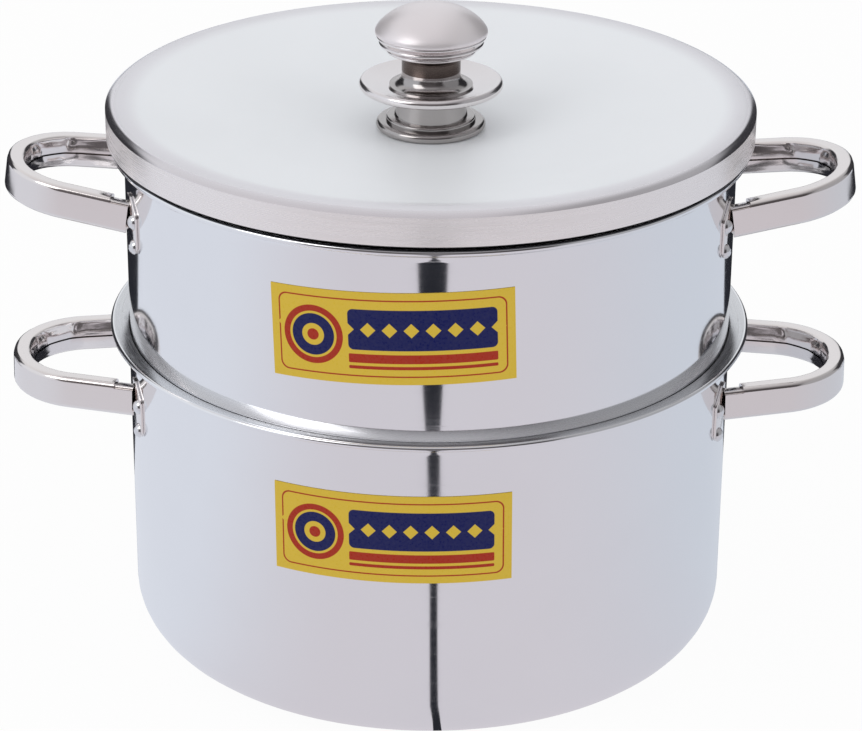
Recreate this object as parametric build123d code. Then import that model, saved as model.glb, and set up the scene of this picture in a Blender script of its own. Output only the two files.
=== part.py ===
from build123d import *
import math
import os

# Two-tier steamer pot in polished aluminium: a deep lower pot, a steamer pot that sits in
# its mouth, and a dished lid with a turned steel knob. Each pot has two hollow band
# handles, riveted on through brackets. The origin is the centre of the flat base. +Z is up,
# the handles lie along X, and the labels face -Y. Lengths are in millimetres.

# Lower pot
POT_RADIUS = 130.0
POT_WALL = 1.5
POT_HEIGHT = 142.2
POT_CORNER_RADIUS = 21.0
POT_LIP_WIDTH = 7.7
POT_LIP_CURL = 4.5
LIP_RISE_DEG = 12.0
BEAD_DIAMETER = 3.2

# Steamer pot
STEAMER_STEP_IN = 0.5
STEAMER_WALL = 1.2
STEAMER_HEIGHT = 85.3
STEAMER_LIP_WIDTH = 5.7
STEAMER_LIP_CURL = 3.0
STEAMER_NECK_DEPTH = 16.0
STEAMER_LEDGE_WIDTH = 7.0
SEAT_CLEARANCE = 0.3
NECK_CLEARANCE = 0.5

# Perforated base of the steamer
BASE_PLATE_THICKNESS = 1.2
BASE_PLATE_CLEARANCE = 0.2
STEAM_HOLE_DIAMETER = 6.0
STEAM_HOLE_RINGS = 4
STEAM_HOLES_PER_STEP = 6
STEAM_HOLE_EDGE_MARGIN = 16.0

# Lid
LID_OVERHANG = 1.5
LID_WALL = 1.2
LID_EDGE_RADIUS = 4.5
LID_HEIGHT = 15.2
LID_DISH_DEPTH = 14.1
LID_FLAT_RADIUS = 25.0
LID_CENTRING_DEPTH = 3.0
LID_CENTRING_CLEARANCE = 1.0

# Knob, from the lid upwards
KNOB_BASE_RADIUS = 23.2
KNOB_BASE_HEIGHT = 3.8
KNOB_STEP_RADIUS = 19.0
KNOB_STEP_HEIGHT = 1.9
KNOB_STEM_RADIUS = 15.5
KNOB_STEM_WAIST_RADIUS = 14.9
KNOB_STEM_HEIGHT = 11.2
GUARD_RADIUS = 30.4
GUARD_SHEET = 1.4
GUARD_RIM_HEIGHT = 4.0
GUARD_DISH = 1.8
COLLAR_RADIUS = 17.6
COLLAR_HEIGHT = 7.0
COLLAR_FOOT_HEIGHT = 1.0
NECK_RADIUS = 12.4
NECK_HEIGHT = 7.0
BOWL_RADIUS = 22.8
BOWL_FOOT_RADIUS = 14.6
BOWL_HEIGHT = 9.0
BOWL_STEP_DEPTH = 0.7
CAP_RADIUS = 23.6
CAP_HEIGHT = 12.7
CAP_RIM_HEIGHT = 1.2
CAP_WALL = 1.6
SCREW_RADIUS = 2.5
SCREW_HEAD_RADIUS = 4.75
SCREW_HEAD_HEIGHT = 3.0
SCREW_CLEARANCE = 0.2
WASHER_RADIUS = 9.0
WASHER_THICKNESS = 1.2

# Handles: a hollow band with its seam on the inner side
BAND_HEIGHT = 14.4
BAND_THICKNESS = 7.6
BAND_SHEET = 1.2
BAND_CORNER_RADIUS = 2.2
BAND_SEAM_WIDTH = 0.8
BAND_NOTCH_LENGTH = 4.0
HANDLE_ROOT_HALF_SPAN = 36.0
HANDLE_CONVERGENCE_DEG = 12.5
HANDLE_END_ROUND_SHARE = 0.945
HANDLE_PROJECTION = 51.2
UPPER_HANDLE_TILT_DEG = 8.2
LOWER_HANDLE_TILT_DEG = 1.5
UPPER_HANDLE_DROP = 24.4
LOWER_HANDLE_DROP = 25.5

# Brackets and rivets
BRACKET_SHEET = 1.6
BRACKET_ABOVE_BAND = 1.5
BRACKET_OUTER_WIDTH = 7.6
BRACKET_RIVET_MARGIN = 4.0
BRACKET_CORNER_RADIUS = 3.0
TONGUE_LENGTH = 16.0
TONGUE_CLEARANCE = 0.1
RIVET_RADIUS = 1.6
RIVET_HEAD_RADIUS = 3.2
RIVET_HEAD_HEIGHT = 1.7
RIVET_INNER_HEAD_HEIGHT = 1.0
RIVET_SPACING = 11.0
RIVET_TOP_DROP = 1.0
RIVET_EDGE_DISTANCE = 3.8

# Printed labels
LABEL_WIDTH = 98.5
LABEL_HEIGHT = 39.0
LABEL_THICKNESS = 0.12
LABEL_GLUE = 0.1
LABEL_OFFSET = 15.0
UPPER_LABEL_DROP = 40.0
LOWER_LABEL_DROP = 44.5
UPPER_LABEL_TURN_DEG = 2.0
LOWER_LABEL_TURN_DEG = 0.6

# One overrun serves every cut
OVERRUN = 2.0


def polar(centre, radius, degrees):
    """Point at an angle on a circle of the section plane."""
    angle = math.radians(degrees)
    return (centre[0] + radius * math.cos(angle), centre[1] + radius * math.sin(angle))


def arc(centre, radius, start_deg, end_deg):
    """Arc between two angles of a circle in the section plane."""
    middle = (start_deg + end_deg) / 2
    return ThreePointArc(
        polar(centre, radius, start_deg),
        polar(centre, radius, middle),
        polar(centre, radius, end_deg),
    )


def outline(*pieces):
    """Joins arcs and lists of points into one closed face, with straight runs between them."""
    edges = []
    last = None
    first = None
    for piece in pieces:
        if isinstance(piece, tuple):
            start = end = piece
        else:
            start = tuple(piece @ 0)[:2]
            end = tuple(piece @ 1)[:2]
        if first is None:
            first = start
        elif math.dist(last, start) > 0:
            edges.append(Line(last, start))
        if not isinstance(piece, tuple):
            edges.append(piece)
        last = end
    if math.dist(last, first) > 0:
        edges.append(Line(last, first))
    return make_face(edges)


def spin(face):
    """Turns a section in the XZ plane round the Z axis."""
    return revolve(Plane.XZ * face, axis=Axis.Z)


def disc(radius, height, z=0):
    """Upright cylinder standing on height z."""
    return Pos(0, 0, z) * Cylinder(radius, height, align=(Align.CENTER, Align.CENTER, Align.MIN))


# Radii and heights that the pieces share
POT_LIP_RADIUS = POT_RADIUS + POT_LIP_WIDTH
STEAMER_RADIUS = POT_RADIUS - STEAMER_STEP_IN
STEAMER_LIP_RADIUS = STEAMER_RADIUS + STEAMER_LIP_WIDTH
LID_RADIUS = STEAMER_LIP_RADIUS + LID_OVERHANG
LIP_ARC_END_DEG = 90 + LIP_RISE_DEG
POT_LIP_START = POT_HEIGHT - POT_LIP_CURL - POT_WALL
SEAT_ANGLE_DEG = math.degrees(
    math.acos(
        (POT_LIP_CURL + STEAMER_STEP_IN) / (POT_LIP_CURL + POT_WALL + SEAT_CLEARANCE)
    )
)
STEAMER_FLOOR = POT_LIP_START + (POT_LIP_CURL + POT_WALL + SEAT_CLEARANCE) * math.sin(
    math.radians(SEAT_ANGLE_DEG)
)
STEAMER_TOP = STEAMER_FLOOR + STEAMER_HEIGHT
STEAMER_LIP_START = STEAMER_TOP - STEAMER_LIP_CURL - STEAMER_WALL


def lip_end(radius, curl, wall, start, outer_radius):
    """Centre of the bead at the outer end of a flared lip, level with the lip's top face."""
    centre = (radius + curl, start)
    top = polar(centre, curl + wall, LIP_ARC_END_DEG)
    bead_radius = BEAD_DIAMETER / 2
    bead_x = outer_radius - bead_radius
    rise = math.radians(LIP_RISE_DEG)
    along = bead_x - top[0] + bead_radius * math.sin(rise)
    top_z = top[1] + along * math.tan(rise)
    return (bead_x, top_z - bead_radius * math.cos(rise))


POT_BEAD = lip_end(POT_RADIUS, POT_LIP_CURL, POT_WALL, POT_LIP_START, POT_LIP_RADIUS)
STEAMER_BEAD = lip_end(
    STEAMER_RADIUS, STEAMER_LIP_CURL, STEAMER_WALL, STEAMER_LIP_START, STEAMER_LIP_RADIUS
)
STEAMER_RIM_TOP = STEAMER_BEAD[1] + BEAD_DIAMETER / 2
LID_BOTTOM = STEAMER_RIM_TOP + SEAT_CLEARANCE
LID_TOP = LID_BOTTOM + LID_HEIGHT
LID_CENTRE_TOP = LID_TOP - LID_DISH_DEPTH


def flared_lip(radius, curl, wall, start, bead):
    """Outer arc, flange points beside the bead, and inner arc of a lip, outside first."""
    centre = (radius + curl, start)
    return [
        arc(centre, curl, 180, LIP_ARC_END_DEG),
        (bead[0], bead[1]),
        polar(bead, BEAD_DIAMETER / 2, LIP_ARC_END_DEG),
        arc(centre, curl + wall, LIP_ARC_END_DEG, 180),
    ]


def lower_pot():
    """Deep pot with a rounded bottom corner, a flared lip and a rolled bead."""
    corner = (POT_RADIUS - POT_CORNER_RADIUS, POT_CORNER_RADIUS)
    section = outline(
        (0, 0),
        arc(corner, POT_CORNER_RADIUS, -90, 0),
        *flared_lip(POT_RADIUS, POT_LIP_CURL, POT_WALL, POT_LIP_START, POT_BEAD),
        arc(corner, POT_CORNER_RADIUS - POT_WALL, 0, -90),
        (0, POT_WALL),
    )
    bead = Pos(*POT_BEAD) * Circle(BEAD_DIAMETER / 2)
    return spin(section + bead)


NECK_RADIUS_OUTER = POT_RADIUS - POT_WALL - NECK_CLEARANCE
NECK_BOTTOM = STEAMER_FLOOR - STEAMER_NECK_DEPTH
LEDGE_RADIUS = NECK_RADIUS_OUTER - STEAMER_LEDGE_WIDTH


def steamer_pot():
    """Upper pot: its wall steps in to a neck that drops into the lower pot's mouth."""
    neck_inner = NECK_RADIUS_OUTER - STEAMER_WALL
    wall_inner = STEAMER_RADIUS - STEAMER_WALL
    section = outline(
        (LEDGE_RADIUS, NECK_BOTTOM),
        (NECK_RADIUS_OUTER, NECK_BOTTOM),
        (NECK_RADIUS_OUTER, STEAMER_FLOOR),
        (STEAMER_RADIUS, STEAMER_FLOOR + STEAMER_WALL),
        *flared_lip(
            STEAMER_RADIUS, STEAMER_LIP_CURL, STEAMER_WALL, STEAMER_LIP_START, STEAMER_BEAD
        ),
        (wall_inner, STEAMER_FLOOR + STEAMER_WALL + STEAMER_WALL),
        (neck_inner, STEAMER_FLOOR + STEAMER_WALL),
        (neck_inner, NECK_BOTTOM + STEAMER_WALL),
        (LEDGE_RADIUS, NECK_BOTTOM + STEAMER_WALL),
    )
    bead = Pos(*STEAMER_BEAD) * Circle(BEAD_DIAMETER / 2)
    return spin(section + bead)


def steamer_base():
    """Perforated plate on the steamer's ledge, with rings of holes for the steam."""
    radius = NECK_RADIUS_OUTER - STEAMER_WALL - BASE_PLATE_CLEARANCE
    plate = disc(radius, BASE_PLATE_THICKNESS, NECK_BOTTOM + STEAMER_WALL)
    hole = disc(
        STEAM_HOLE_DIAMETER / 2,
        BASE_PLATE_THICKNESS + 2 * OVERRUN,
        NECK_BOTTOM + STEAMER_WALL - OVERRUN,
    )
    pitch = (radius - STEAM_HOLE_EDGE_MARGIN) / STEAM_HOLE_RINGS
    holes = [hole]
    for ring in range(1, STEAM_HOLE_RINGS + 1):
        count = ring * STEAM_HOLES_PER_STEP
        for index in range(count):
            holes.append(Rot(0, 0, 360 * index / count) * Pos(ring * pitch, 0, 0) * hole)
    return plate - holes


def lid():
    """Dished lid with a rounded rim, a skirt and a turned-in hem that rests on the steamer."""
    crest = (LID_RADIUS - LID_EDGE_RADIUS, LID_TOP - LID_EDGE_RADIUS)
    span = crest[0] - LID_FLAT_RADIUS
    dish_radius = (span**2 + LID_DISH_DEPTH**2) / (2 * LID_DISH_DEPTH)
    dish_centre = (LID_FLAT_RADIUS, LID_CENTRE_TOP + dish_radius)
    slope = math.degrees(math.asin(span / dish_radius))
    inner_edge = LID_EDGE_RADIUS - LID_WALL
    hem_top = LID_BOTTOM + LID_WALL
    ring_outer = STEAMER_RADIUS - STEAMER_WALL - LID_CENTRING_CLEARANCE
    ring_inner = ring_outer - LID_WALL
    section = outline(
        (0, LID_CENTRE_TOP - LID_WALL),
        arc(dish_centre, dish_radius + LID_WALL, -90, -90 + slope),
        arc(crest, inner_edge, 90, 0),
        (LID_RADIUS - LID_WALL, hem_top),
        (ring_inner, hem_top),
        (ring_inner, LID_BOTTOM - LID_CENTRING_DEPTH),
        (ring_outer, LID_BOTTOM - LID_CENTRING_DEPTH),
        (ring_outer, LID_BOTTOM),
        (LID_RADIUS, LID_BOTTOM),
        arc(crest, LID_EDGE_RADIUS, 0, 90),
        arc(dish_centre, dish_radius, -90 + slope, -90),
        (0, LID_CENTRE_TOP),
    )
    bore = disc(SCREW_RADIUS + SCREW_CLEARANCE, LID_HEIGHT, LID_CENTRE_TOP - LID_HEIGHT / 2)
    return spin(section) - bore


# Heights of the knob's stack
BASE_TOP = LID_CENTRE_TOP + KNOB_BASE_HEIGHT + KNOB_STEP_HEIGHT
STEM_TOP = BASE_TOP + KNOB_STEM_HEIGHT
GUARD_TOP = STEM_TOP + GUARD_SHEET
COLLAR_TOP = GUARD_TOP + COLLAR_HEIGHT
NECK_TOP = COLLAR_TOP + NECK_HEIGHT
BOWL_TOP = NECK_TOP + BOWL_HEIGHT
KNOB_BORE_RADIUS = SCREW_RADIUS + SCREW_CLEARANCE


def bored(solid, bottom, top):
    """Cuts the screw's clearance hole through a turned piece."""
    return solid - disc(KNOB_BORE_RADIUS, top - bottom + 2 * OVERRUN, bottom - OVERRUN)


def knob_base():
    """Stepped foot of the knob, rounded at its outer edge."""
    z = LID_CENTRE_TOP
    edge = KNOB_BASE_HEIGHT / 2
    step_top = z + KNOB_BASE_HEIGHT + KNOB_STEP_HEIGHT
    shoulder = KNOB_STEP_HEIGHT / 2
    section = outline(
        (0, z),
        arc((KNOB_BASE_RADIUS - edge, z + edge), edge, -90, 90),
        (KNOB_STEP_RADIUS, z + KNOB_BASE_HEIGHT),
        arc((KNOB_STEP_RADIUS - shoulder, step_top - shoulder), shoulder, 0, 90),
        (0, step_top),
    )
    return bored(spin(section), z, step_top)


def knob_stem():
    """Slightly waisted stem between the foot and the guard disc."""
    z = BASE_TOP
    middle = (KNOB_STEM_WAIST_RADIUS, z + KNOB_STEM_HEIGHT / 2)
    side = ThreePointArc((KNOB_STEM_RADIUS, z), middle, (KNOB_STEM_RADIUS, STEM_TOP))
    section = outline((0, z), side, (0, STEM_TOP))
    return bored(spin(section), z, STEM_TOP)


def knob_guard_disc():
    """Wide disc that keeps the fingers off the lid, dished up to a rounded rim."""
    rim = GUARD_RIM_HEIGHT / 2
    rim_centre = (GUARD_RADIUS - rim, STEM_TOP + GUARD_DISH + GUARD_SHEET / 2)
    section = outline(
        (0, STEM_TOP),
        (COLLAR_RADIUS, STEM_TOP),
        (rim_centre[0], rim_centre[1] - GUARD_SHEET / 2),
        (rim_centre[0], rim_centre[1] + GUARD_SHEET / 2),
        (COLLAR_RADIUS, GUARD_TOP),
        (0, GUARD_TOP),
    )
    rolled = Pos(*rim_centre) * Circle(rim)
    return bored(spin(section + rolled), STEM_TOP, GUARD_TOP)


def knob_collar():
    """Flared ring that carries the neck on the guard disc."""
    foot = GUARD_TOP + COLLAR_FOOT_HEIGHT
    flare_radius = COLLAR_RADIUS - NECK_RADIUS
    flare = arc((COLLAR_RADIUS, foot + flare_radius), flare_radius, -90, -180)
    section = outline(
        (0, GUARD_TOP),
        (COLLAR_RADIUS, GUARD_TOP),
        flare,
        (NECK_RADIUS, COLLAR_TOP),
        (0, COLLAR_TOP),
    )
    return bored(spin(section), GUARD_TOP, COLLAR_TOP)


def knob_neck():
    """Narrow neck that widens upwards under the bowl."""
    flare = BOWL_FOOT_RADIUS - NECK_RADIUS
    section = outline(
        (0, COLLAR_TOP),
        (NECK_RADIUS, COLLAR_TOP),
        arc((BOWL_FOOT_RADIUS, NECK_TOP - flare), flare, 180, 90),
        (0, NECK_TOP),
    )
    return bored(spin(section), COLLAR_TOP, NECK_TOP)


def knob_bowl():
    """Stepped underside of the knob, in three rings of growing width."""
    rings = 3
    rise = BOWL_HEIGHT / rings
    widening = (BOWL_RADIUS - BOWL_FOOT_RADIUS) / rings
    points = [(0, NECK_TOP)]
    for ring in range(rings):
        z = NECK_TOP + ring * rise
        radius = BOWL_FOOT_RADIUS + ring * widening
        points.append((radius, z))
        points.append((radius + widening + BOWL_STEP_DEPTH / 2, z + rise - BOWL_STEP_DEPTH))
        points.append((radius + widening - BOWL_STEP_DEPTH / 2, z + rise))
    points.append((0, BOWL_TOP))
    return bored(spin(outline(*points)), NECK_TOP, BOWL_TOP)


def knob_cap():
    """Hollow dome that closes the top of the knob."""
    rise = CAP_HEIGHT - CAP_RIM_HEIGHT
    dome_radius = (CAP_RADIUS**2 + rise**2) / (2 * rise)
    dome_centre = (0, BOWL_TOP + CAP_HEIGHT - dome_radius)
    half_angle = math.degrees(math.asin(CAP_RADIUS / dome_radius))
    inner_radius = dome_radius - CAP_WALL
    inner_angle = math.degrees(math.asin((CAP_RADIUS - CAP_WALL) / inner_radius))
    section = outline(
        (0, BOWL_TOP + CAP_HEIGHT - CAP_WALL),
        arc(dome_centre, inner_radius, 90, 90 - inner_angle),
        (CAP_RADIUS - CAP_WALL, BOWL_TOP),
        (CAP_RADIUS, BOWL_TOP),
        arc(dome_centre, dome_radius, 90 - half_angle, 90),
    )
    return spin(section)


def screw_washer():
    """Flat washer between the lid and the screw's head."""
    z = LID_CENTRE_TOP - LID_WALL - WASHER_THICKNESS
    return bored(disc(WASHER_RADIUS, WASHER_THICKNESS, z), z, z + WASHER_THICKNESS)


def knob_screw():
    """Round-headed screw from under the lid up to the bowl, with a slot in its head."""
    z = LID_CENTRE_TOP - LID_WALL - WASHER_THICKNESS
    section = outline(arc((0, z), SCREW_HEAD_RADIUS, -90, 0), (0, z))
    head = spin(section) & disc(SCREW_HEAD_RADIUS, SCREW_HEAD_HEIGHT, z - SCREW_HEAD_HEIGHT)
    slot = Pos(0, 0, z - SCREW_HEAD_HEIGHT) * Box(
        2 * SCREW_HEAD_RADIUS, SCREW_RADIUS / 2, SCREW_HEAD_HEIGHT
    )
    shank = disc(SCREW_RADIUS, BOWL_TOP - z, z)
    return head - slot + shank


def handle_path(wall_radius):
    """Plan outline of a handle's middle line: two legs that draw in, and a rounded end."""
    lean = math.tan(math.radians(HANDLE_CONVERGENCE_DEG))
    reach = HANDLE_PROJECTION - BAND_THICKNESS / 2
    start = wall_radius - HANDLE_PROJECTION / 2
    back = HANDLE_ROOT_HALF_SPAN + (wall_radius - start) * lean
    end_half = HANDLE_ROOT_HALF_SPAN - reach * lean
    tip = wall_radius + reach
    half_turn = math.radians(90 - HANDLE_CONVERGENCE_DEG) / 2
    end_radius = HANDLE_END_ROUND_SHARE * end_half / math.tan(half_turn)
    points = [(start, -back), (tip, -end_half), (tip, end_half), (start, back)]
    return FilletPolyline(*points, radius=end_radius)


def band_section(width, height, radius):
    """Rounded rectangle across the band, seen along the first leg."""
    return RectangleRounded(width, height, radius)


def sweep_along(path, section):
    """Sweeps a section, drawn with X across the band and Y upwards, along a handle's path."""
    start = path @ 0
    direction = path % 0
    across = Vector(0, 0, 1).cross(direction)
    plane = Plane(origin=start, x_dir=across, z_dir=direction)
    return sweep(plane * section, path=path)


def placed_handle(shape, wall_radius, tilt, height):
    """Tilts a handle about its root and lifts it to its place on the wall."""
    return Pos(wall_radius, 0, height) * Rot(0, -tilt, 0) * Pos(-wall_radius, 0, 0) * shape


def wall_cutter(radius):
    """Tall cylinder that trims what stands on a pot's wall."""
    tall = STEAMER_TOP + LID_TOP
    return Cylinder(radius, tall)


def handle_band(wall_radius, height, tilt):
    """Hollow band bent to a loop: folded sheet with a seam inside and notched ends."""
    inset = BAND_THICKNESS / 2
    path = handle_path(wall_radius)
    outer = band_section(BAND_THICKNESS, BAND_HEIGHT, BAND_CORNER_RADIUS)
    hollow = band_section(
        BAND_THICKNESS - 2 * BAND_SHEET,
        BAND_HEIGHT - 2 * BAND_SHEET,
        BAND_CORNER_RADIUS - BAND_SHEET,
    )
    seam = Pos(inset, 0) * Rectangle(BAND_THICKNESS, BAND_SEAM_WIDTH)
    loop = sweep_along(path, outer - hollow - seam)
    face = Pos(-inset + BAND_SHEET / 2, 0) * Rectangle(
        BAND_SHEET, BAND_HEIGHT - 2 * BAND_CORNER_RADIUS
    )
    face_loop = sweep_along(path, face)
    seat = wall_radius + BRACKET_SHEET
    loop = placed_handle(loop, wall_radius, tilt, height) - wall_cutter(seat + BAND_NOTCH_LENGTH)
    face_loop = placed_handle(face_loop, wall_radius, tilt, height) - wall_cutter(seat)
    return loop + face_loop


def bracket_face():
    """Outline of the plate: as wide as the band at its root, with an ear for the rivets."""
    band_side = HANDLE_ROOT_HALF_SPAN + BAND_THICKNESS / 2
    inner_edge = band_side - BAND_THICKNESS
    outer_edge = band_side + BRACKET_OUTER_WIDTH
    top = BAND_HEIGHT / 2 + BRACKET_ABOVE_BAND
    upper_rivet = -RIVET_TOP_DROP
    lower_rivet = upper_rivet - RIVET_SPACING
    face = make_face(
        Polyline(
            (inner_edge, top),
            (band_side, top),
            (outer_edge, upper_rivet + BRACKET_RIVET_MARGIN),
            (outer_edge, lower_rivet),
            (band_side + RIVET_EDGE_DISTANCE, lower_rivet - BRACKET_RIVET_MARGIN),
            (inner_edge, -BAND_HEIGHT / 2),
            close=True,
        )
    )
    return fillet(face.vertices(), BRACKET_CORNER_RADIUS)


def bracket(wall_radius, height, tilt, side):
    """Riveted plate on the wall with a tongue that fills the band's hollow end."""
    block = Pos(0, 0, height) * extrude(Plane.YZ * bracket_face(), 2 * wall_radius)
    plate = block & (wall_cutter(wall_radius + BRACKET_SHEET) - wall_cutter(wall_radius))
    gap = BAND_SHEET + TONGUE_CLEARANCE
    tongue_section = band_section(
        BAND_THICKNESS - 2 * gap, BAND_HEIGHT - 2 * gap, BAND_CORNER_RADIUS - BAND_SHEET
    )
    tongue = sweep_along(handle_path(wall_radius), tongue_section)
    reach = wall_radius + BRACKET_SHEET + TONGUE_LENGTH
    keep = wall_cutter(reach) - wall_cutter(wall_radius + BRACKET_SHEET / 2)
    half_space = Pos(0, wall_radius, height) * Box(
        4 * wall_radius, 2 * wall_radius, 2 * wall_radius
    )
    tongue = placed_handle(tongue, wall_radius, tilt, height) & keep & half_space
    piece = plate + tongue - rivet_holes(wall_radius, height)
    if side < 0:
        piece = mirror(piece, about=Plane.XZ)
    return piece


def rivet_places(wall_radius):
    """Directions and heights of one bracket's rivets, both outside the band's root."""
    across = HANDLE_ROOT_HALF_SPAN + BAND_THICKNESS / 2 + RIVET_EDGE_DISTANCE
    azimuth = math.degrees(math.asin(across / wall_radius))
    return [(azimuth, -RIVET_TOP_DROP - drop) for drop in (0, RIVET_SPACING)]


def rivet_holes(wall_radius, height):
    """Cutters for one bracket's rivets."""
    shape = Cylinder(RIVET_RADIUS, 2 * POT_WALL + 4 * BRACKET_SHEET)
    holes = []
    for azimuth, z in rivet_places(wall_radius):
        holes.append(
            Rot(0, 0, azimuth) * Pos(wall_radius, 0, height + z) * Rot(0, 90, 0) * shape
        )
    return holes


def rivet(wall_radius, wall):
    """One rivet along +X: a domed head outside, a shank, and a low head inside."""
    outside = wall_radius + BRACKET_SHEET
    inside = math.sqrt((wall_radius - wall) ** 2 - RIVET_HEAD_RADIUS**2)
    dome_radius = (RIVET_HEAD_RADIUS**2 + RIVET_HEAD_HEIGHT**2) / (2 * RIVET_HEAD_HEIGHT)
    dome = Pos(outside + RIVET_HEAD_HEIGHT - dome_radius, 0, 0) * Sphere(dome_radius)
    cap = Pos(outside + RIVET_HEAD_HEIGHT / 2, 0, 0) * Rot(0, 90, 0) * Cylinder(
        RIVET_HEAD_RADIUS, RIVET_HEAD_HEIGHT
    )
    head = dome & cap
    length = outside - inside
    shank = Pos(inside + length / 2, 0, 0) * Rot(0, 90, 0) * Cylinder(RIVET_RADIUS, length)
    low = Pos(inside - RIVET_INNER_HEAD_HEIGHT / 2, 0, 0) * Rot(0, 90, 0) * Cylinder(
        RIVET_HEAD_RADIUS, RIVET_INNER_HEAD_HEIGHT
    )
    return head + shank + low


def rivets(wall_radius, wall, height):
    """The four rivets of one handle, two in each bracket."""
    solids = []
    for side in (1, -1):
        for azimuth, z in rivet_places(wall_radius):
            solids.append(
                Rot(0, 0, side * azimuth) * Pos(0, 0, height + z) * rivet(wall_radius, wall)
            )
    return solids


def label(wall_radius, centre_height, turn):
    """Thin printed label, bent round the front of a pot and stuck on a little askew."""
    chord = 2 * wall_radius * math.sin(LABEL_WIDTH / 2 / wall_radius)
    face = Rot(0, 0, turn) * Rectangle(chord, LABEL_HEIGHT)
    back = wall_radius + LABEL_GLUE
    shell = wall_cutter(back + LABEL_THICKNESS) - wall_cutter(back)
    block = Pos(0, 0, centre_height) * extrude(Plane.XZ * face, 2 * wall_radius)
    return Rot(0, 0, -math.degrees(LABEL_OFFSET / wall_radius)) * (shell & block)


def save(name, shape):
    """Writes one named piece as a STEP file."""
    solids = shape if isinstance(shape, list) else [shape]
    whole = Compound(children=[part for item in solids for part in item.solids()])
    whole.label = name
    export_step(whole, os.path.join("parts", name + ".step"))


def save_handles():
    """Writes the four handles with their brackets and rivets."""
    levels = {
        "upper": (
            STEAMER_RADIUS,
            STEAMER_WALL,
            STEAMER_TOP - UPPER_HANDLE_DROP,
            UPPER_HANDLE_TILT_DEG,
        ),
        "lower": (POT_RADIUS, POT_WALL, POT_HEIGHT - LOWER_HANDLE_DROP, LOWER_HANDLE_TILT_DEG),
    }
    for level, (radius, wall, height, tilt) in levels.items():
        band = handle_band(radius, height, tilt)
        plates = {
            "rear": bracket(radius, height, tilt, 1),
            "front": bracket(radius, height, tilt, -1),
        }
        pins = rivets(radius, wall, height)
        for side, turn in (("right", 0), ("left", 180)):
            place = Rot(0, 0, turn)
            save(f"{level}_{side}_handle", place * band)
            for end, plate in plates.items():
                facing = end
                if side == "left":
                    facing = "front" if end == "rear" else "rear"
                save(f"{level}_{side}_{facing}_bracket", place * plate)
            save(f"{level}_{side}_rivets", [place * pin for pin in pins])


def through_wall(shell, wall_radius, height):
    """Drills a pot's wall for the rivets of both its handles."""
    for turn in (0, 180):
        for flip in (1, -1):
            for hole in rivet_holes(wall_radius, height):
                cutter = hole if flip > 0 else mirror(hole, about=Plane.XZ)
                shell = shell - Rot(0, 0, turn) * cutter
    return shell


def main():
    os.makedirs("parts", exist_ok=True)
    save("lower_pot", through_wall(lower_pot(), POT_RADIUS, POT_HEIGHT - LOWER_HANDLE_DROP))
    save(
        "steamer_pot",
        through_wall(steamer_pot(), STEAMER_RADIUS, STEAMER_TOP - UPPER_HANDLE_DROP),
    )
    save("steamer_base", steamer_base())
    save("lid", lid())
    save("knob_base", knob_base())
    save("knob_stem", knob_stem())
    save("knob_guard_disc", knob_guard_disc())
    save("knob_collar", knob_collar())
    save("knob_neck", knob_neck())
    save("knob_bowl", knob_bowl())
    save("knob_cap", knob_cap())
    save("knob_screw", knob_screw())
    save("screw_washer", screw_washer())
    save_handles()
    upper_label = label(STEAMER_RADIUS, STEAMER_TOP - UPPER_LABEL_DROP, UPPER_LABEL_TURN_DEG)
    lower_label = label(POT_RADIUS, POT_HEIGHT - LOWER_LABEL_DROP, LOWER_LABEL_TURN_DEG)
    save("upper_label", upper_label)
    save("lower_label", lower_label)
    print("steamer floor", STEAMER_FLOOR, "top", STEAMER_TOP, "rim", STEAMER_RIM_TOP)
    print("lid bottom", LID_BOTTOM, "top", LID_TOP, "centre", LID_CENTRE_TOP)
    print("knob top", BOWL_TOP + CAP_HEIGHT, "pot bead", POT_BEAD, "steamer bead", STEAMER_BEAD)


if __name__ == "__main__":
    main()
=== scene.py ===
"""Two-tier steamer pot in polished aluminium: its fine meshes, finishes, studio and camera.

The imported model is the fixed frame. Sizes in the classes are millimetres, taken from the
frame's boxes where a box gives them, and drawn into the scene in metres.
"""

import logging
import math
from collections.abc import Iterable, Sequence
from dataclasses import dataclass, field
from enum import Enum, IntEnum

import bpy
from mathutils import Matrix, Vector

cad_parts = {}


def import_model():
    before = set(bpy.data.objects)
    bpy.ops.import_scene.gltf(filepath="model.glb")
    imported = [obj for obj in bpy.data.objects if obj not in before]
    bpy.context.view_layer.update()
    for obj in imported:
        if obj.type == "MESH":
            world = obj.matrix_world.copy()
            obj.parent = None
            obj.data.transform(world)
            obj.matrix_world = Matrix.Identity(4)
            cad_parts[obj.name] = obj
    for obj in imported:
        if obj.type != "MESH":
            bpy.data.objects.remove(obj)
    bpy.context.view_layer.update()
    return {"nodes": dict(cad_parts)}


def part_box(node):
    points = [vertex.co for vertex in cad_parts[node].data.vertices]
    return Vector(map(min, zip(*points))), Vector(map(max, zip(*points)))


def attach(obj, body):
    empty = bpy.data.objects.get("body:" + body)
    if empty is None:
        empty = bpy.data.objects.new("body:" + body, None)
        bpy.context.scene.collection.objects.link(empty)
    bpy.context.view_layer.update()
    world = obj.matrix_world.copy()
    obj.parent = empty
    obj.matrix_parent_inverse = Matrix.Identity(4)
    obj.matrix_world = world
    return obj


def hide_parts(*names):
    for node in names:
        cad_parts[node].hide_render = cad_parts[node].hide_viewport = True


LOG = logging.getLogger("steamer_pot")

MM = 0.001
MERGE_DISTANCE = 0.002 * MM
PEN_SIZE = 0.1 * MM
TURNING_STEPS = 256
SMALL_TURNING_STEPS = 96
RIVET_STEPS = 32
ARC_STEP_DEG = 9.0
CORNER_STEPS = 4
SMOOTH_ANGLE_DEG = 32.0
SOLVER_ROUNDS = 12

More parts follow.
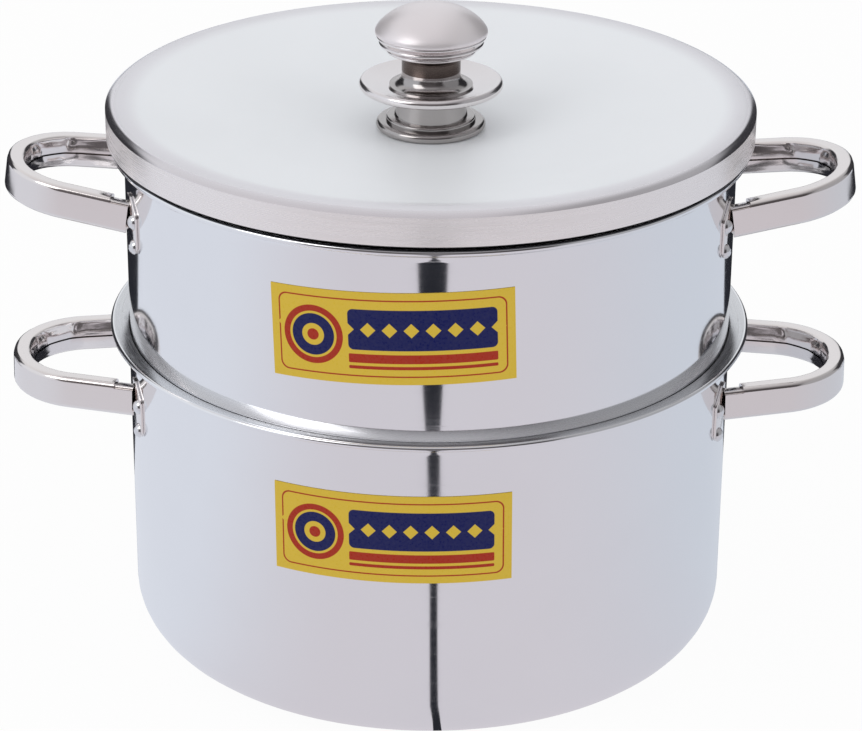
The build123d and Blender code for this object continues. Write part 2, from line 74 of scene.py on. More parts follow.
Point = tuple[float, float]
Span = tuple[float, float]
Edges = tuple[float, float, float, float]
Colour = tuple[float, float, float]
Piece = bpy.types.Object
Socket = bpy.types.NodeSocket
Box = tuple[Vector, Vector]


class Side(Enum):
    """The side of the pot that a handle stands on, as a turn about Z in degrees."""

    RIGHT = 0.0
    LEFT = 180.0


class Level(Enum):
    """The pot that a handle belongs to."""

    UPPER = "upper"
    LOWER = "lower"


class End(Enum):
    """The end of a right-hand handle's loop, as the sign of its Y."""

    FRONT = -1.0
    REAR = 1.0


# Modelling helpers


def to_objects() -> None:
    """Leaves edit mode."""
    bpy.ops.object.mode_set(mode="OBJECT")


def select_everything() -> None:
    """Selects all of the piece that is open in edit mode."""
    bpy.ops.mesh.select_all(action="SELECT")


def deselect_all() -> None:
    """Leaves edit mode and clears the selection."""
    if bpy.context.mode != "OBJECT":
        to_objects()
    bpy.ops.object.select_all(action="DESELECT")


def pick(piece: Piece) -> None:
    """Makes a piece the only selected and the active one."""
    deselect_all()
    piece.select_set(True)
    bpy.context.view_layer.objects.active = piece


def edit(piece: Piece, mode: str = "VERT") -> None:
    """Opens a piece in edit mode with everything selected.

    Args:
        piece: the mesh object to open.
        mode: VERT, EDGE or FACE, the kind of element that is picked.
    """
    pick(piece)
    bpy.ops.object.mode_set(mode="EDIT")
    bpy.ops.mesh.select_mode(type=mode)
    select_everything()


def select_faces(piece: Piece, chosen: Iterable[int]) -> None:
    """Selects faces by number and opens the piece in edit mode."""
    edit(piece, "FACE")
    bpy.ops.mesh.select_all(action="DESELECT")
    to_objects()
    for index in chosen:
        piece.data.polygons[index].select = True
    bpy.ops.object.mode_set(mode="EDIT")


def settle(piece: Piece) -> None:
    """Puts a piece's place, turn and scale into its mesh."""
    pick(piece)
    bpy.ops.object.transform_apply(location=True, rotation=True, scale=True)


def close_up(piece: Piece) -> None:
    """Merges doubled vertices and turns every face outwards."""
    edit(piece)
    bpy.ops.mesh.remove_doubles(threshold=MERGE_DISTANCE)
    select_everything()
    bpy.ops.mesh.normals_make_consistent(inside=False)
    to_objects()


def smooth(piece: Piece, degrees: float = SMOOTH_ANGLE_DEG) -> None:
    """Shades a piece smooth, and keeps the edges sharper than the angle."""
    pick(piece)
    bpy.ops.object.shade_smooth_by_angle(angle=math.radians(degrees))


def apply_modifiers(piece: Piece) -> None:
    """Applies every modifier of a piece, in order."""
    pick(piece)
    for modifier in list(piece.modifiers):
        bpy.ops.object.modifier_apply(modifier=modifier.name)


def draw_chain(name: str, points: Sequence[Vector]) -> Piece:
    """Draws a line of vertices, point by point, from a plane merged to one vertex.

    Args:
        name: the new piece's name.
        points: places in millimetres.

    Returns:
        The piece, in edit mode, with its last vertex selected.
    """
    places = [point * MM for point in points]
    deselect_all()
    bpy.ops.mesh.primitive_plane_add(size=PEN_SIZE, location=places[0])
    piece = bpy.context.active_object
    piece.name = name
    settle(piece)
    edit(piece)
    bpy.ops.mesh.merge(type="CENTER")
    for start, end in zip(places, places[1:]):
        bpy.ops.mesh.extrude_vertices_move(TRANSFORM_OT_translate={"value": end - start})
    return piece


def draw_face(name: str, points: Sequence[Vector]) -> Piece:
    """Draws an outline in millimetres and fills it, and leaves it open in edit mode."""
    piece = draw_chain(name, points)
    select_everything()
    bpy.ops.mesh.edge_face_add()
    return piece


def join(pieces: Sequence[Piece], name: str) -> Piece:
    """Joins pieces into one object under a new name."""
    deselect_all()
    for piece in pieces:
        piece.select_set(True)
    bpy.context.view_layer.objects.active = pieces[0]
    bpy.ops.object.join()
    whole = bpy.context.active_object
    whole.name = name
    return whole


def copy_moved(piece: Piece, name: str, move: Matrix) -> Piece:
    """Copies a piece, with a mesh of its own, and moves the copy's mesh."""
    pick(piece)
    bpy.ops.object.duplicate(linked=False)
    copy = bpy.context.active_object
    copy.name = name
    copy.data.transform(move)
    return copy


def copy_turned(piece: Piece, name: str, degrees: float) -> Piece:
    """Copies a piece and turns the copy about Z."""
    return copy_moved(piece, name, Matrix.Rotation(math.radians(degrees), 4, "Z"))


def copy_mirrored(piece: Piece, name: str) -> Piece:
    """Copies a piece, mirrored across the XZ plane, with its faces outwards again."""
    copy = copy_moved(piece, name, Matrix.Diagonal((1.0, -1.0, 1.0, 1.0)))
    copy.data.flip_normals()
    return copy


def node_box(node: str) -> Box:
    """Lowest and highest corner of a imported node, in millimetres."""
    low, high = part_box(node)
    return low / MM, high / MM


class Profile:
    """Half section of a turned piece, as radius and height in millimetres."""

    def __init__(self, radius: float, height: float) -> None:
        """Starts the section at a point."""
        self.points: list[Point] = [(radius, height)]

    def to(self, radius: float, height: float) -> "Profile":
        """Adds a straight run to a point, and returns the profile."""
        self.points.append((radius, height))
        return self

    def through(self, *points: Point) -> "Profile":
        """Adds straight runs through points, and returns the profile."""
        self.points.extend(points)
        return self

    def arc(self, centre: Point, radius: float, start: float, end: float) -> "Profile":
        """Adds an arc between two angles.

        Args:
            centre: the arc's centre, as radius and height.
            radius: the arc's own radius.
            start: first angle in degrees, 0 pointing outwards and 90 upwards.
            end: last angle in degrees.

        Returns:
            The profile.
        """
        steps = max(2, math.ceil(abs(end - start) / ARC_STEP_DEG))
        for step in range(steps + 1):
            angle = math.radians(start + (end - start) * step / steps)
            point = (centre[0] + radius * math.cos(angle), centre[1] + radius * math.sin(angle))
            if math.dist(point, self.points[-1]) * MM > MERGE_DISTANCE:
                self.points.append(point)
        return self

    def turned(self, name: str, steps: int = TURNING_STEPS) -> Piece:
        """Spins the section about Z into a closed piece.

        Args:
            name: the new piece's name.
            steps: number of facets round the piece.

        Returns:
            The turned piece, shaded smooth.
        """
        piece = draw_chain(name, [Vector((radius, 0, height)) for radius, height in self.points])
        select_everything()
        bpy.ops.mesh.spin(
            steps=steps, angle=math.tau, center=(0.0, 0.0, 0.0), axis=(0.0, 0.0, 1.0)
        )
        close_up(piece)
        smooth(piece)
        return piece


# Shader helpers


class Graph:
    """Adds nodes to a tree and joins their sockets."""

    def __init__(self, tree: bpy.types.NodeTree) -> None:
        """Keeps the tree that the nodes go into."""
        self.tree = tree

    def feed(self, socket: Socket, value: object) -> None:
        """Links a socket to another one, or sets its value."""
        if isinstance(value, Socket):
            self.tree.links.new(value, socket)
        else:
            socket.default_value = value

    def add(self, kind: str, inputs: dict | None = None, **settings: object) -> bpy.types.Node:
        """Adds a node.

        Args:
            kind: Blender's name for the node's type.
            inputs: values or sockets for its inputs, by name or number.
            settings: its own properties.

        Returns:
            The new node.
        """
        node = self.tree.nodes.new(kind)
        for name, value in settings.items():
            setattr(node, name, value)
        for key, value in (inputs or {}).items():
            self.feed(node.inputs[key], value)
        return node

    def math(self, operation: str, *values: object) -> Socket:
        """Returns the result of a Math node on the given values."""
        node = self.add("ShaderNodeMath", dict(enumerate(values)), operation=operation)
        return node.outputs[0]

    def vector(self, operation: str, *values: object) -> Socket:
        """Returns the result of a Vector Math node on the given values."""
        node = self.add("ShaderNodeVectorMath", dict(enumerate(values)), operation=operation)
        if operation in {"LENGTH", "DOT_PRODUCT"}:
            return node.outputs["Value"]
        return node.outputs["Vector"]

    def split(self, vector: Socket) -> tuple:
        """Returns the X, Y and Z sockets of a vector."""
        node = self.add("ShaderNodeSeparateXYZ", {0: vector})
        return node.outputs[0], node.outputs[1], node.outputs[2]

    def merge(self, x: object, y: object, z: object) -> Socket:
        """Returns a vector of three values."""
        return self.add("ShaderNodeCombineXYZ", {0: x, 1: y, 2: z}).outputs[0]

    def remap(
        self, value: object, span: Span, result: Span, kind: str = "SMOOTHSTEP"
    ) -> Socket:
        """Maps one range of values to another.

        Args:
            value: the socket or number to map.
            span: the two values where the change starts and ends.
            result: what comes out at those two values.
            kind: LINEAR or SMOOTHSTEP.

        Returns:
            The mapped value's socket.
        """
        inputs = {
            "Value": value,
            "From Min": span[0],
            "From Max": span[1],
            "To Min": result[0],
            "To Max": result[1],
        }
        node = self.add("ShaderNodeMapRange", inputs, interpolation_type=kind, clamp=True)
        return node.outputs["Result"]

    def rise(self, value: object, span: Span, kind: str = "SMOOTHSTEP") -> Socket:
        """Returns 0 below a span of values and 1 above it."""
        return self.remap(value, span, (0.0, 1.0), kind)

    def fall(self, value: object, span: Span, kind: str = "SMOOTHSTEP") -> Socket:
        """Returns 1 below a span of values and 0 above it."""
        return self.remap(value, span, (1.0, 0.0), kind)

    def both(self, first: object, second: object) -> Socket:
        """Returns the mask of what two masks share."""
        return self.math("MULTIPLY", first, second)

    def either(self, first: object, second: object) -> Socket:
        """Returns the mask of what two masks cover together."""
        return self.math("MAXIMUM", first, second)

    def window(self, value: object, edges: Edges) -> Socket:
        """Returns 1 between the two middle edges, falling to 0 at the outer ones."""
        return self.both(self.rise(value, edges[:2]), self.fall(value, edges[2:]))

    def length(self, x: object, y: object) -> Socket:
        """Returns the length of a flat vector."""
        return self.vector("LENGTH", self.merge(x, y, 0.0))

    def mix(self, share: object, first: object, second: object) -> Socket:
        """Returns a colour between two colours, which are sockets or plain values."""
        node = self.add("ShaderNodeMix", data_type="RGBA")
        self.feed(node.inputs["Factor"], share)
        sockets = [socket for socket in node.inputs if socket.type == "RGBA"]
        for socket, colour in zip(sockets, (first, second)):
            self.feed(socket, (*colour, 1.0) if isinstance(colour, tuple) else colour)
        return next(socket for socket in node.outputs if socket.type == "RGBA")

    def noise(
        self, vector: object, scale: object, detail: float, roughness: float = 0.5
    ) -> Socket:
        """Returns the value of a noise texture on a vector."""
        inputs = {"Vector": vector, "Scale": scale, "Detail": detail, "Roughness": roughness}
        return self.add("ShaderNodeTexNoise", inputs).outputs[0]

    def blend(self, share: object, first: object, second: object) -> Socket:
        """Returns a shader between two shaders."""
        return self.add("ShaderNodeMixShader", {0: share, 1: first, 2: second}).outputs[0]

    def bump(self, shader: bpy.types.Node, height: object, depth: float) -> None:
        """Gives a shader the relief of a height map, with its depth in millimetres."""
        relief = {"Height": self.math("MULTIPLY", height, depth * MM), "Distance": 1.0}
        self.feed(shader.inputs["Normal"], self.add("ShaderNodeBump", relief).outputs[0])


# Shader groups


def new_group(name: str, inputs: dict[str, tuple[str, object]], outputs: dict[str, str]) -> tuple:
    """Makes an empty shader group with named sockets.

    Args:
        name: the group's name.
        inputs: kind of socket and default value, by name.
        outputs: kind of socket, by name.

    Returns:
        The group, its graph, its input node's sockets and its output node's sockets.
    """
    group = bpy.data.node_groups.new(name, "ShaderNodeTree")
    for socket_name, (kind, value) in inputs.items():
        socket = group.interface.new_socket(socket_name, in_out="INPUT", socket_type=kind)
        if value is not None:
            socket.default_value = value
    for socket_name, kind in outputs.items():
        group.interface.new_socket(socket_name, in_out="OUTPUT", socket_type=kind)
    graph = Graph(group)
    entry = graph.add("NodeGroupInput")
    leave = graph.add("NodeGroupOutput")
    return group, graph, entry.outputs, leave.inputs


LINE_DETAIL = 4.0
LINE_ROUGHNESS = 0.65
LINE_LEVELS = (0.3, 0.7)
SCUFF_SCALE = 60.0
SCUFF_DETAIL = 3.0
SCUFF_LEVELS = (0.66, 0.74)
SCUFF_TURN_SHARES = (1.0, 0.7, 1.3)
SCUFF_TURNS_AND_STRETCHES = ((0.35, 26.0), (1.45, 34.0), (2.5, 22.0))
SMUDGE_SCALE = 14.0
SMUDGE_DETAIL = 5.0
SMUDGE_ROUGHNESS = 0.6
SMUDGE_LEVELS = (0.42, 0.72)
SMUDGE_SHADE = 0.04
DULL_SHARE = 0.7
PRINT_EDGE = 0.15
PRINT_BOX_INPUTS = ("X", "Y", "Half width", "Half height", "Corner")


def turned_lines_group() -> bpy.types.NodeTree:
    """Builds the group for fine lines that run round the Z axis, as a lathe or a mop leaves."""
    group, graph, source, result = new_group(
        "turned_lines",
        {
            "Vector": ("NodeSocketVector", None),
            "Lines per metre": ("NodeSocketFloat", None),
            "Wander": ("NodeSocketFloat", None),
        },
        {"Value": "NodeSocketFloat"},
    )
    x, y, z = graph.split(source["Vector"])
    turn = graph.vector("SCALE", graph.vector("NORMALIZE", graph.merge(x, y, 0.0)))
    graph.feed(turn.node.inputs["Scale"], source["Wander"])
    across = graph.math("MULTIPLY", graph.length(x, y), source["Lines per metre"])
    noise = graph.add(
        "ShaderNodeTexNoise",
        {
            "Vector": graph.vector("ADD", turn, graph.merge(0.0, 0.0, across)),
            "W": graph.math("MULTIPLY", z, source["Lines per metre"]),
            "Scale": 1.0,
            "Detail": LINE_DETAIL,
            "Roughness": LINE_ROUGHNESS,
        },
        noise_dimensions="4D",
    )
    graph.feed(result["Value"], noise.outputs[0])
    return group


def scuffs_group() -> bpy.types.NodeTree:
    """Builds the group for thin hairline scuffs that lie in three directions."""
    group, graph, source, result = new_group(
        "hairline_scuffs",
        {"Vector": ("NodeSocketVector", None), "Scale": ("NodeSocketFloat", SCUFF_SCALE)},
        {"Mask": "NodeSocketFloat"},
    )
    total = 0.0
    for turn, stretch in SCUFF_TURNS_AND_STRETCHES:
        inputs = {
            "Vector": source["Vector"],
            "Rotation": tuple(turn * share for share in SCUFF_TURN_SHARES),
            "Scale": (1.0, 1.0, stretch),
        }
        place = graph.add("ShaderNodeMapping", inputs).outputs[0]
        grain = graph.noise(place, source["Scale"], SCUFF_DETAIL)
        total = graph.either(total, graph.rise(grain, SCUFF_LEVELS))
    graph.feed(result["Mask"], total)
    return group


def smudges_group() -> bpy.types.NodeTree:
    """Builds the group for the broad cloudy marks that handling leaves on polished metal."""
    group, graph, source, result = new_group(
        "hand_smudges",
        {"Vector": ("NodeSocketVector", None), "Scale": ("NodeSocketFloat", SMUDGE_SCALE)},
        {"Mask": "NodeSocketFloat"},
    )
    cloud = graph.noise(source["Vector"], source["Scale"], SMUDGE_DETAIL, SMUDGE_ROUGHNESS)
    graph.feed(result["Mask"], graph.rise(cloud, SMUDGE_LEVELS))
    return group


def print_box_group() -> bpy.types.NodeTree:
    """Builds the group for a printed box with round corners: 1 inside it, 0 outside."""
    inputs = {name: ("NodeSocketFloat", None) for name in PRINT_BOX_INPUTS}
    inputs["Soft edge"] = ("NodeSocketFloat", PRINT_EDGE)
    group, graph, source, result = new_group("printed_box", inputs, {"Mask": "NodeSocketFloat"})
    reach = []
    for axis, half in (("X", "Half width"), ("Y", "Half height")):
        straight = graph.math("SUBTRACT", source[half], source["Corner"])
        reach.append(graph.math("SUBTRACT", graph.math("ABSOLUTE", source[axis]), straight))
    length = graph.length(*(graph.math("MAXIMUM", beyond, 0.0) for beyond in reach))
    inner = graph.math("MINIMUM", graph.math("MAXIMUM", *reach), 0.0)
    distance = graph.math("SUBTRACT", graph.math("ADD", length, inner), source["Corner"])
    soft = graph.math("DIVIDE", distance, source["Soft edge"])
    graph.feed(result["Mask"], graph.fall(soft, (-1.0, 1.0)))
    return group


# Finishes


@dataclass(frozen=True)
class MetalFinish:
    """Look of one metal surface.

    The spacing and depth of its turned lines and the span of its rim are millimetres, and
    the rim's colour comes in over that span of radii. Spreads are added to the roughness.
    """

    name: str
    colour: Colour
    roughness: float
    line_spacing: float = 0.6
    line_depth: float = 0.0
    line_spread: float = 0.04
    line_wander: float = 1.5
    scuff_spread: float = 0.1
    smudge_spread: float = 0.05
    metallic: float = 1.0
    rim_span: Span | None = None
    rim_colour: Colour = (0.88, 0.862, 0.885)


POLISHED_WALL = MetalFinish(
    "polished_wall",
    (0.91, 0.91, 0.925),
    roughness=0.07,
    line_spacing=1.2,
    line_spread=0.015,
    line_wander=2.0,
    scuff_spread=0.05,
    smudge_spread=0.03,
)
SATIN_INSIDE = MetalFinish(
    "satin_inside",
    (0.80, 0.80, 0.81),
    roughness=0.34,
    line_spacing=0.8,
    line_depth=0.0004,
    line_spread=0.08,
    line_wander=3.0,
    smudge_spread=0.08,
)
BRUSHED_LIP = MetalFinish(
    "brushed_lip",
    (0.73, 0.735, 0.75),
    roughness=0.27,
    line_spacing=0.5,
    line_depth=0.0006,
    line_spread=0.1,
    line_wander=4.0,
)
LID_TOP = MetalFinish(
    "lid_top",
    (0.92, 0.942, 0.975),
    roughness=0.42,
    line_spacing=1.5,
    line_depth=0.0002,
    line_spread=0.03,
    line_wander=2.0,
    scuff_spread=0.04,
    metallic=0.12,
    rim_span=(121.5, 130.0),
)
LID_SKIRT = MetalFinish(
    "lid_skirt",
    (0.88, 0.84, 0.85),
    roughness=0.28,
    line_spacing=1.0,
    line_depth=0.001,
    line_spread=0.1,
    line_wander=5.0,
    scuff_spread=0.08,
    smudge_spread=0.04,
    metallic=0.5,
)
LID_ROUND = MetalFinish(
    "lid_round",
    (0.80, 0.77, 0.795),
    roughness=0.14,
    line_spacing=1.0,
    line_depth=0.0003,
    line_wander=5.0,
    scuff_spread=0.06,
    smudge_spread=0.04,
)
# Painted shade: the hem under the lid's rim is coloured near black so that the gap between lid and
# steamer shows dark.
LID_HEM_SHADE = MetalFinish(
    "unpolished_lid_hem", (0.10, 0.10, 0.105), roughness=0.5, line_spacing=1.0, line_spread=0.05
)
SATIN_HANDLE = MetalFinish(
    "satin_handle",
    (0.87, 0.82, 0.80),
    roughness=0.12,
    line_spacing=0.9,
    line_spread=0.015,
    line_wander=3.0,
    scuff_spread=0.06,
    smudge_spread=0.03,
)
KNOB_STEEL = MetalFinish(
    "turned_knob_steel",
    (0.84, 0.80, 0.80),
    roughness=0.16,
    line_spacing=0.5,
    line_depth=0.0005,
    line_spread=0.05,
    line_wander=4.0,
    scuff_spread=0.06,
    smudge_spread=0.04,
)
KNOB_CAP = MetalFinish(
    "satin_knob_cap",
    (0.86, 0.81, 0.825),
    roughness=0.34,
    line_spacing=0.8,
    line_depth=0.0002,
    line_wander=4.0,
    scuff_spread=0.06,
    metallic=0.55,
)
# Painted shade: the knob's turned steel in a darker copy, standing in for the dark surroundings
# that the base, stem and collar mirror.
KNOB_SHADED_FOOT = MetalFinish(
    "turned_foot_steel",
    (0.46, 0.435, 0.425),
    roughness=0.13,
    line_spacing=0.5,
    line_depth=0.0008,
    line_spread=0.05,
    line_wander=4.0,
    scuff_spread=0.06,
    smudge_spread=0.04,
)
KNOB_DARK = MetalFinish(
    "dark_neck_steel",
    (0.12, 0.095, 0.085),
    roughness=0.22,
    line_spacing=0.5,
    line_depth=0.0005,
    line_spread=0.06,
    line_wander=4.0,
    scuff_spread=0.08,
    smudge_spread=0.06,
)
FASTENER_STEEL = MetalFinish(
    "fastener_steel",
    (0.62, 0.61, 0.60),
    roughness=0.3,
    line_spacing=0.4,
    line_depth=0.0005,
    line_spread=0.08,
    line_wander=4.0,
    smudge_spread=0.06,
)
RIVET_METAL = MetalFinish(
    "rivet_metal",
    (0.80, 0.79, 0.80),
    roughness=0.08,
    line_spacing=0.5,
    line_depth=0.0002,
    line_spread=0.05,
    line_wander=4.0,
    scuff_spread=0.12,
    smudge_spread=0.06,
)


def new_material(name: str) -> tuple[bpy.types.Material, Graph, bpy.types.Node]:
    """Makes a material, and returns it with its graph and its Principled shader."""
    material = bpy.data.materials.new(name)
    material.use_nodes = True
    return material, Graph(material.node_tree), material.node_tree.nodes["Principled BSDF"]


class Workshop:
    """Makes each finish's material once, from the shared shader groups."""

    def __init__(self) -> None:
        """Builds the shared groups."""
        self.lines = turned_lines_group()
        self.scuffs = scuffs_group()
        self.smudges = smudges_group()
        self.print_box = print_box_group()
        self.made: dict[str, bpy.types.Material] = {}

    def place(self, graph: Graph, group: bpy.types.NodeTree, inputs: dict) -> Socket:
        """Puts a group's node into a graph, sets its inputs and returns its output."""
        node = graph.add("ShaderNodeGroup", node_tree=group)
        for name, value in inputs.items():
            graph.feed(node.inputs[name], value)
        return node.outputs[0]

    def metal(self, finish: MetalFinish) -> bpy.types.Material:
        """Returns the material of a metal finish, making it the first time."""
        if finish.name in self.made:
            return self.made[finish.name]
        material, graph, shader = new_material(finish.name)
        where = graph.add("ShaderNodeTexCoord").outputs["Object"]
        pattern = {
            "Vector": where,
            "Lines per metre": 1.0 / (finish.line_spacing * MM),
            "Wander": finish.line_wander,
        }
        lines = self.place(graph, self.lines, pattern)
        scuffs = self.place(graph, self.scuffs, {"Vector": where})
        smudges = self.place(graph, self.smudges, {"Vector": where})
        spread = (finish.roughness - finish.line_spread, finish.roughness + finish.line_spread)
        rough = graph.remap(lines, LINE_LEVELS, spread, "LINEAR")
        rough = graph.math("MULTIPLY_ADD", scuffs, finish.scuff_spread, rough)
        rough = graph.math("MULTIPLY_ADD", smudges, finish.smudge_spread, rough)
        graph.feed(shader.inputs["Roughness"], rough)
        dull = tuple(value * DULL_SHARE for value in finish.colour)
        colour = graph.mix(graph.math("MULTIPLY", smudges, SMUDGE_SHADE), finish.colour, dull)
        metallic = finish.metallic
        if finish.rim_span:
            x, y, _ = graph.split(where)
            radius = graph.length(x, y)
            span = tuple(edge * MM for edge in finish.rim_span)
            colour = graph.mix(graph.rise(radius, span), colour, finish.rim_colour)
            metallic = graph.remap(radius, span, (finish.metallic, 1.0))
        graph.feed(shader.inputs["Metallic"], metallic)
        graph.feed(shader.inputs["Base Color"], colour)
        if finish.line_depth > 0.0:
            graph.bump(shader, lines, finish.line_depth)
        self.made[finish.name] = material
        return material


@dataclass(frozen=True)
class LabelPrint:
    """The labels' inks, as linear colours, and their printed shapes.

    Places and sizes are millimetres from the label's centre. A box is half its width, half
    its height and its corner radius. A stripe is its height on the label and half its width.
    """

    yellow: Colour = (0.72, 0.50, 0.05)
    red: Colour = (0.40, 0.026, 0.008)
    navy: Colour = (0.004, 0.008, 0.095)
    worn: Colour = (0.8, 0.76, 0.66)
    frame: tuple[float, float, float] = (46.0, 16.4, 3.6)
    frame_inside: tuple[float, float, float] = (45.4, 15.8, 3.2)
    panel_at: Point = (12.5, 3.6)
    panel: tuple[float, float, float] = (29.5, 8.6, 2.2)
    lozenge_pitch: float = 8.6
    lozenge_shift: float = 20.5
    lozenge_edge: Span = (2.9, 3.2)
    stripes: tuple[Point, ...] = ((-8.6, 1.9), (-12.4, 0.7))
    stripe_corner: float = 0.5
    target_at: float = -31.5
    target_rings: tuple[float, ...] = (12.4, 9.8, 8.8, 4.6, 2.4)
    fibre_scale: float = 900.0
    fibre_detail: float = 3.0
    wear_levels: Span = (0.3, 0.75)
    wear: float = 0.02
    gloss_levels: Span = (0.3, 0.7)
    gloss: Span = (0.26, 0.4)
    wave_scale: float = 55.0
    wave_depth: float = 0.08
    shine: float = 0.22


class PrintedLabelFinish:
    """Glossy paper with a plain geometric print, laid out in millimetres on the label's UV."""

    def __init__(self, workshop: Workshop, width: float, height: float) -> None:
        """Keeps the workshop and the label's size.

        Args:
            workshop: where the shared groups are.
            width: the label's width.
            height: the label's height.
        """
        self.workshop = workshop
        self.width = width
        self.height = height
        self.print = LabelPrint()

    def box(
        self, graph: Graph, x: object, y: object, size: tuple[float, float, float]
    ) -> Socket:
        """Returns the mask of a printed box.

        Args:
            graph: the material's graph.
            x: place across the label, from the box's centre.
            y: place up the label, from the box's centre.
            size: half its width, half its height and its corner radius.

        Returns:
            The mask's socket.
        """
        inputs = dict(zip(PRINT_BOX_INPUTS, (x, y, *size)))
        return self.workshop.place(graph, self.workshop.print_box, inputs)

    def lozenges(self, graph: Graph, x: object, y: object) -> Socket:
        """Returns the mask of a row of small lozenges on the navy panel."""
        pitch = self.print.lozenge_pitch
        shifted = graph.math("ADD", x, pitch * self.print.lozenge_shift)
        cell = graph.math("PINGPONG", shifted, pitch / 2)
        reach = graph.math("ADD", graph.math("ABSOLUTE", cell), graph.math("ABSOLUTE", y))
        return graph.fall(reach, self.print.lozenge_edge)

    def layers(self, graph: Graph, x: object, y: object) -> list[tuple[Socket, Colour]]:
        """Returns the printed shapes' masks and inks, in the order of printing."""
        ink = self.print
        right = graph.math("SUBTRACT", x, ink.panel_at[0])
        left = graph.math("SUBTRACT", x, ink.target_at)
        panel_up = graph.math("SUBTRACT", y, ink.panel_at[1])
        layers = [
            (self.box(graph, x, y, ink.frame), ink.red),
            (self.box(graph, x, y, ink.frame_inside), ink.yellow),
            (self.box(graph, right, panel_up, ink.panel), ink.navy),
            (self.lozenges(graph, right, panel_up), ink.yellow),
        ]
        for height, half in ink.stripes:
            stripe = graph.math("SUBTRACT", y, height)
            size = (ink.panel[0], half, ink.stripe_corner)
            layers.append((self.box(graph, right, stripe, size), ink.red))
        inks = (ink.red, ink.yellow, ink.navy, ink.yellow, ink.red)
        for radius, colour in zip(ink.target_rings, inks):
            layers.append((self.box(graph, left, y, (radius, radius, radius)), colour))
        return layers

    def material(self, name: str) -> bpy.types.Material:
        """Builds the label's material.

        Args:
            name: the material's name.

        Returns:
            The material.
        """
        material, graph, shader = new_material(name)
        uv = graph.add("ShaderNodeTexCoord").outputs["UV"]
        across, up, _ = graph.split(uv)
        x = graph.math("MULTIPLY_ADD", across, self.width, -self.width / 2)
        y = graph.math("MULTIPLY_ADD", up, self.height, -self.height / 2)
        colour = self.print.yellow
        for mask, ink in self.layers(graph, x, y):
            colour = graph.mix(mask, colour, ink)
        where = graph.add("ShaderNodeTexCoord").outputs["Object"]
        fibres = graph.noise(where, self.print.fibre_scale, self.print.fibre_detail)
        wear = graph.remap(fibres, self.print.wear_levels, (0.0, self.print.wear), "LINEAR")
        graph.feed(shader.inputs["Base Color"], graph.mix(wear, colour, self.print.worn))
        rough = graph.remap(fibres, self.print.gloss_levels, self.print.gloss)
        graph.feed(shader.inputs["Roughness"], rough)
        waves = graph.noise(where, self.print.wave_scale, 1.0)
        graph.bump(shader, waves, self.print.wave_depth)
        shader.inputs["Specular IOR Level"].default_value = self.print.shine
        return material


def dress(piece: Piece, *materials: bpy.types.Material) -> None:
    """Gives a piece its materials, the first one on every face."""
    piece.data.materials.clear()
    for material in materials:
        piece.data.materials.append(material)
    for polygon in piece.data.polygons:
        polygon.material_index = 0


def hand_over(piece: Piece, body: str, slot: str, *nodes: str) -> None:
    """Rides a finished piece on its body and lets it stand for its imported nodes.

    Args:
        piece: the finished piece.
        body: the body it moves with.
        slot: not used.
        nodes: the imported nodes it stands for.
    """
    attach(piece, body)
    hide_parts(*nodes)
    LOG.info("%s: %d faces, rides on %s", piece.name, len(piece.data.polygons), body)


# Pots


class PotZone(IntEnum):
    """The finishes of a pot, in the order of its material slots."""

    OUTSIDE = 0
    INSIDE = 1
    FLANGE = 2


@dataclass
class FlaredLip:
    """Lip of a pot: a curled flange that ends in a rolled bead.

    Where a seat is given, the flange runs flat to it and then drops into the mouth.
    """

    wall_radius: float
    wall: float
    curl: float
    rise: float = 12.0
    bead: float = 3.2
    seat: float | None = None
    bead_start: float = 215.0
    seat_edge: float = 0.4
    seat_step: float = 0.25
    throat_round: float = 0.2
    throat_top: float = 1.9
    throat_bottom: float = 2.8
    bead_at: Point = field(init=False)
    start: float = field(init=False)

    def fit(self, outer: float, top: float) -> "FlaredLip":
        """Works out the lip from its outer radius and its highest point.

        Args:
            outer: the bead's outer radius.
            top: the bead's top.

        Returns:
            The lip.
        """
        bead = self.bead / 2
        self.bead_at = (outer - bead, top - bead)
        rise = math.radians(self.rise)
        outside = self.curl + self.wall
        crown = self.wall_radius + self.curl - outside * math.sin(rise)
        along = self.bead_at[0] - crown + bead * math.sin(rise)
        crown_height = self.bead_at[1] + bead * math.cos(rise) - along * math.tan(rise)
        self.start = crown_height - outside * math.cos(rise)
        return self

    def outside(self, profile: Profile) -> Profile:
        """Carries a section from the wall's outside round the bead to the inside."""
        centre = (self.wall_radius + self.curl, self.start)
        end = 90 + self.rise
        bead = self.bead / 2
        profile.to(self.wall_radius, self.start)
        profile.arc(centre, self.curl, 180, end)
        profile.arc(self.bead_at, bead, self.bead_start, 360 + end)
        if self.seat is None:
            return profile.arc(centre, self.curl + self.wall, end, 180)
        crest = math.radians(end)
        rim = (self.bead_at[0] + bead * math.cos(crest), self.bead_at[1] + bead * math.sin(crest))
        land = self.seat + self.seat_edge
        height = rim[1] - (rim[0] - land) * math.tan(crest - math.pi / 2)
        inside = self.wall_radius - self.wall
        return profile.through(
            (land, height),
            (self.seat, height - self.seat_step),
            (inside + self.throat_round, height - self.throat_top),
            (inside, height - self.throat_bottom),
        )


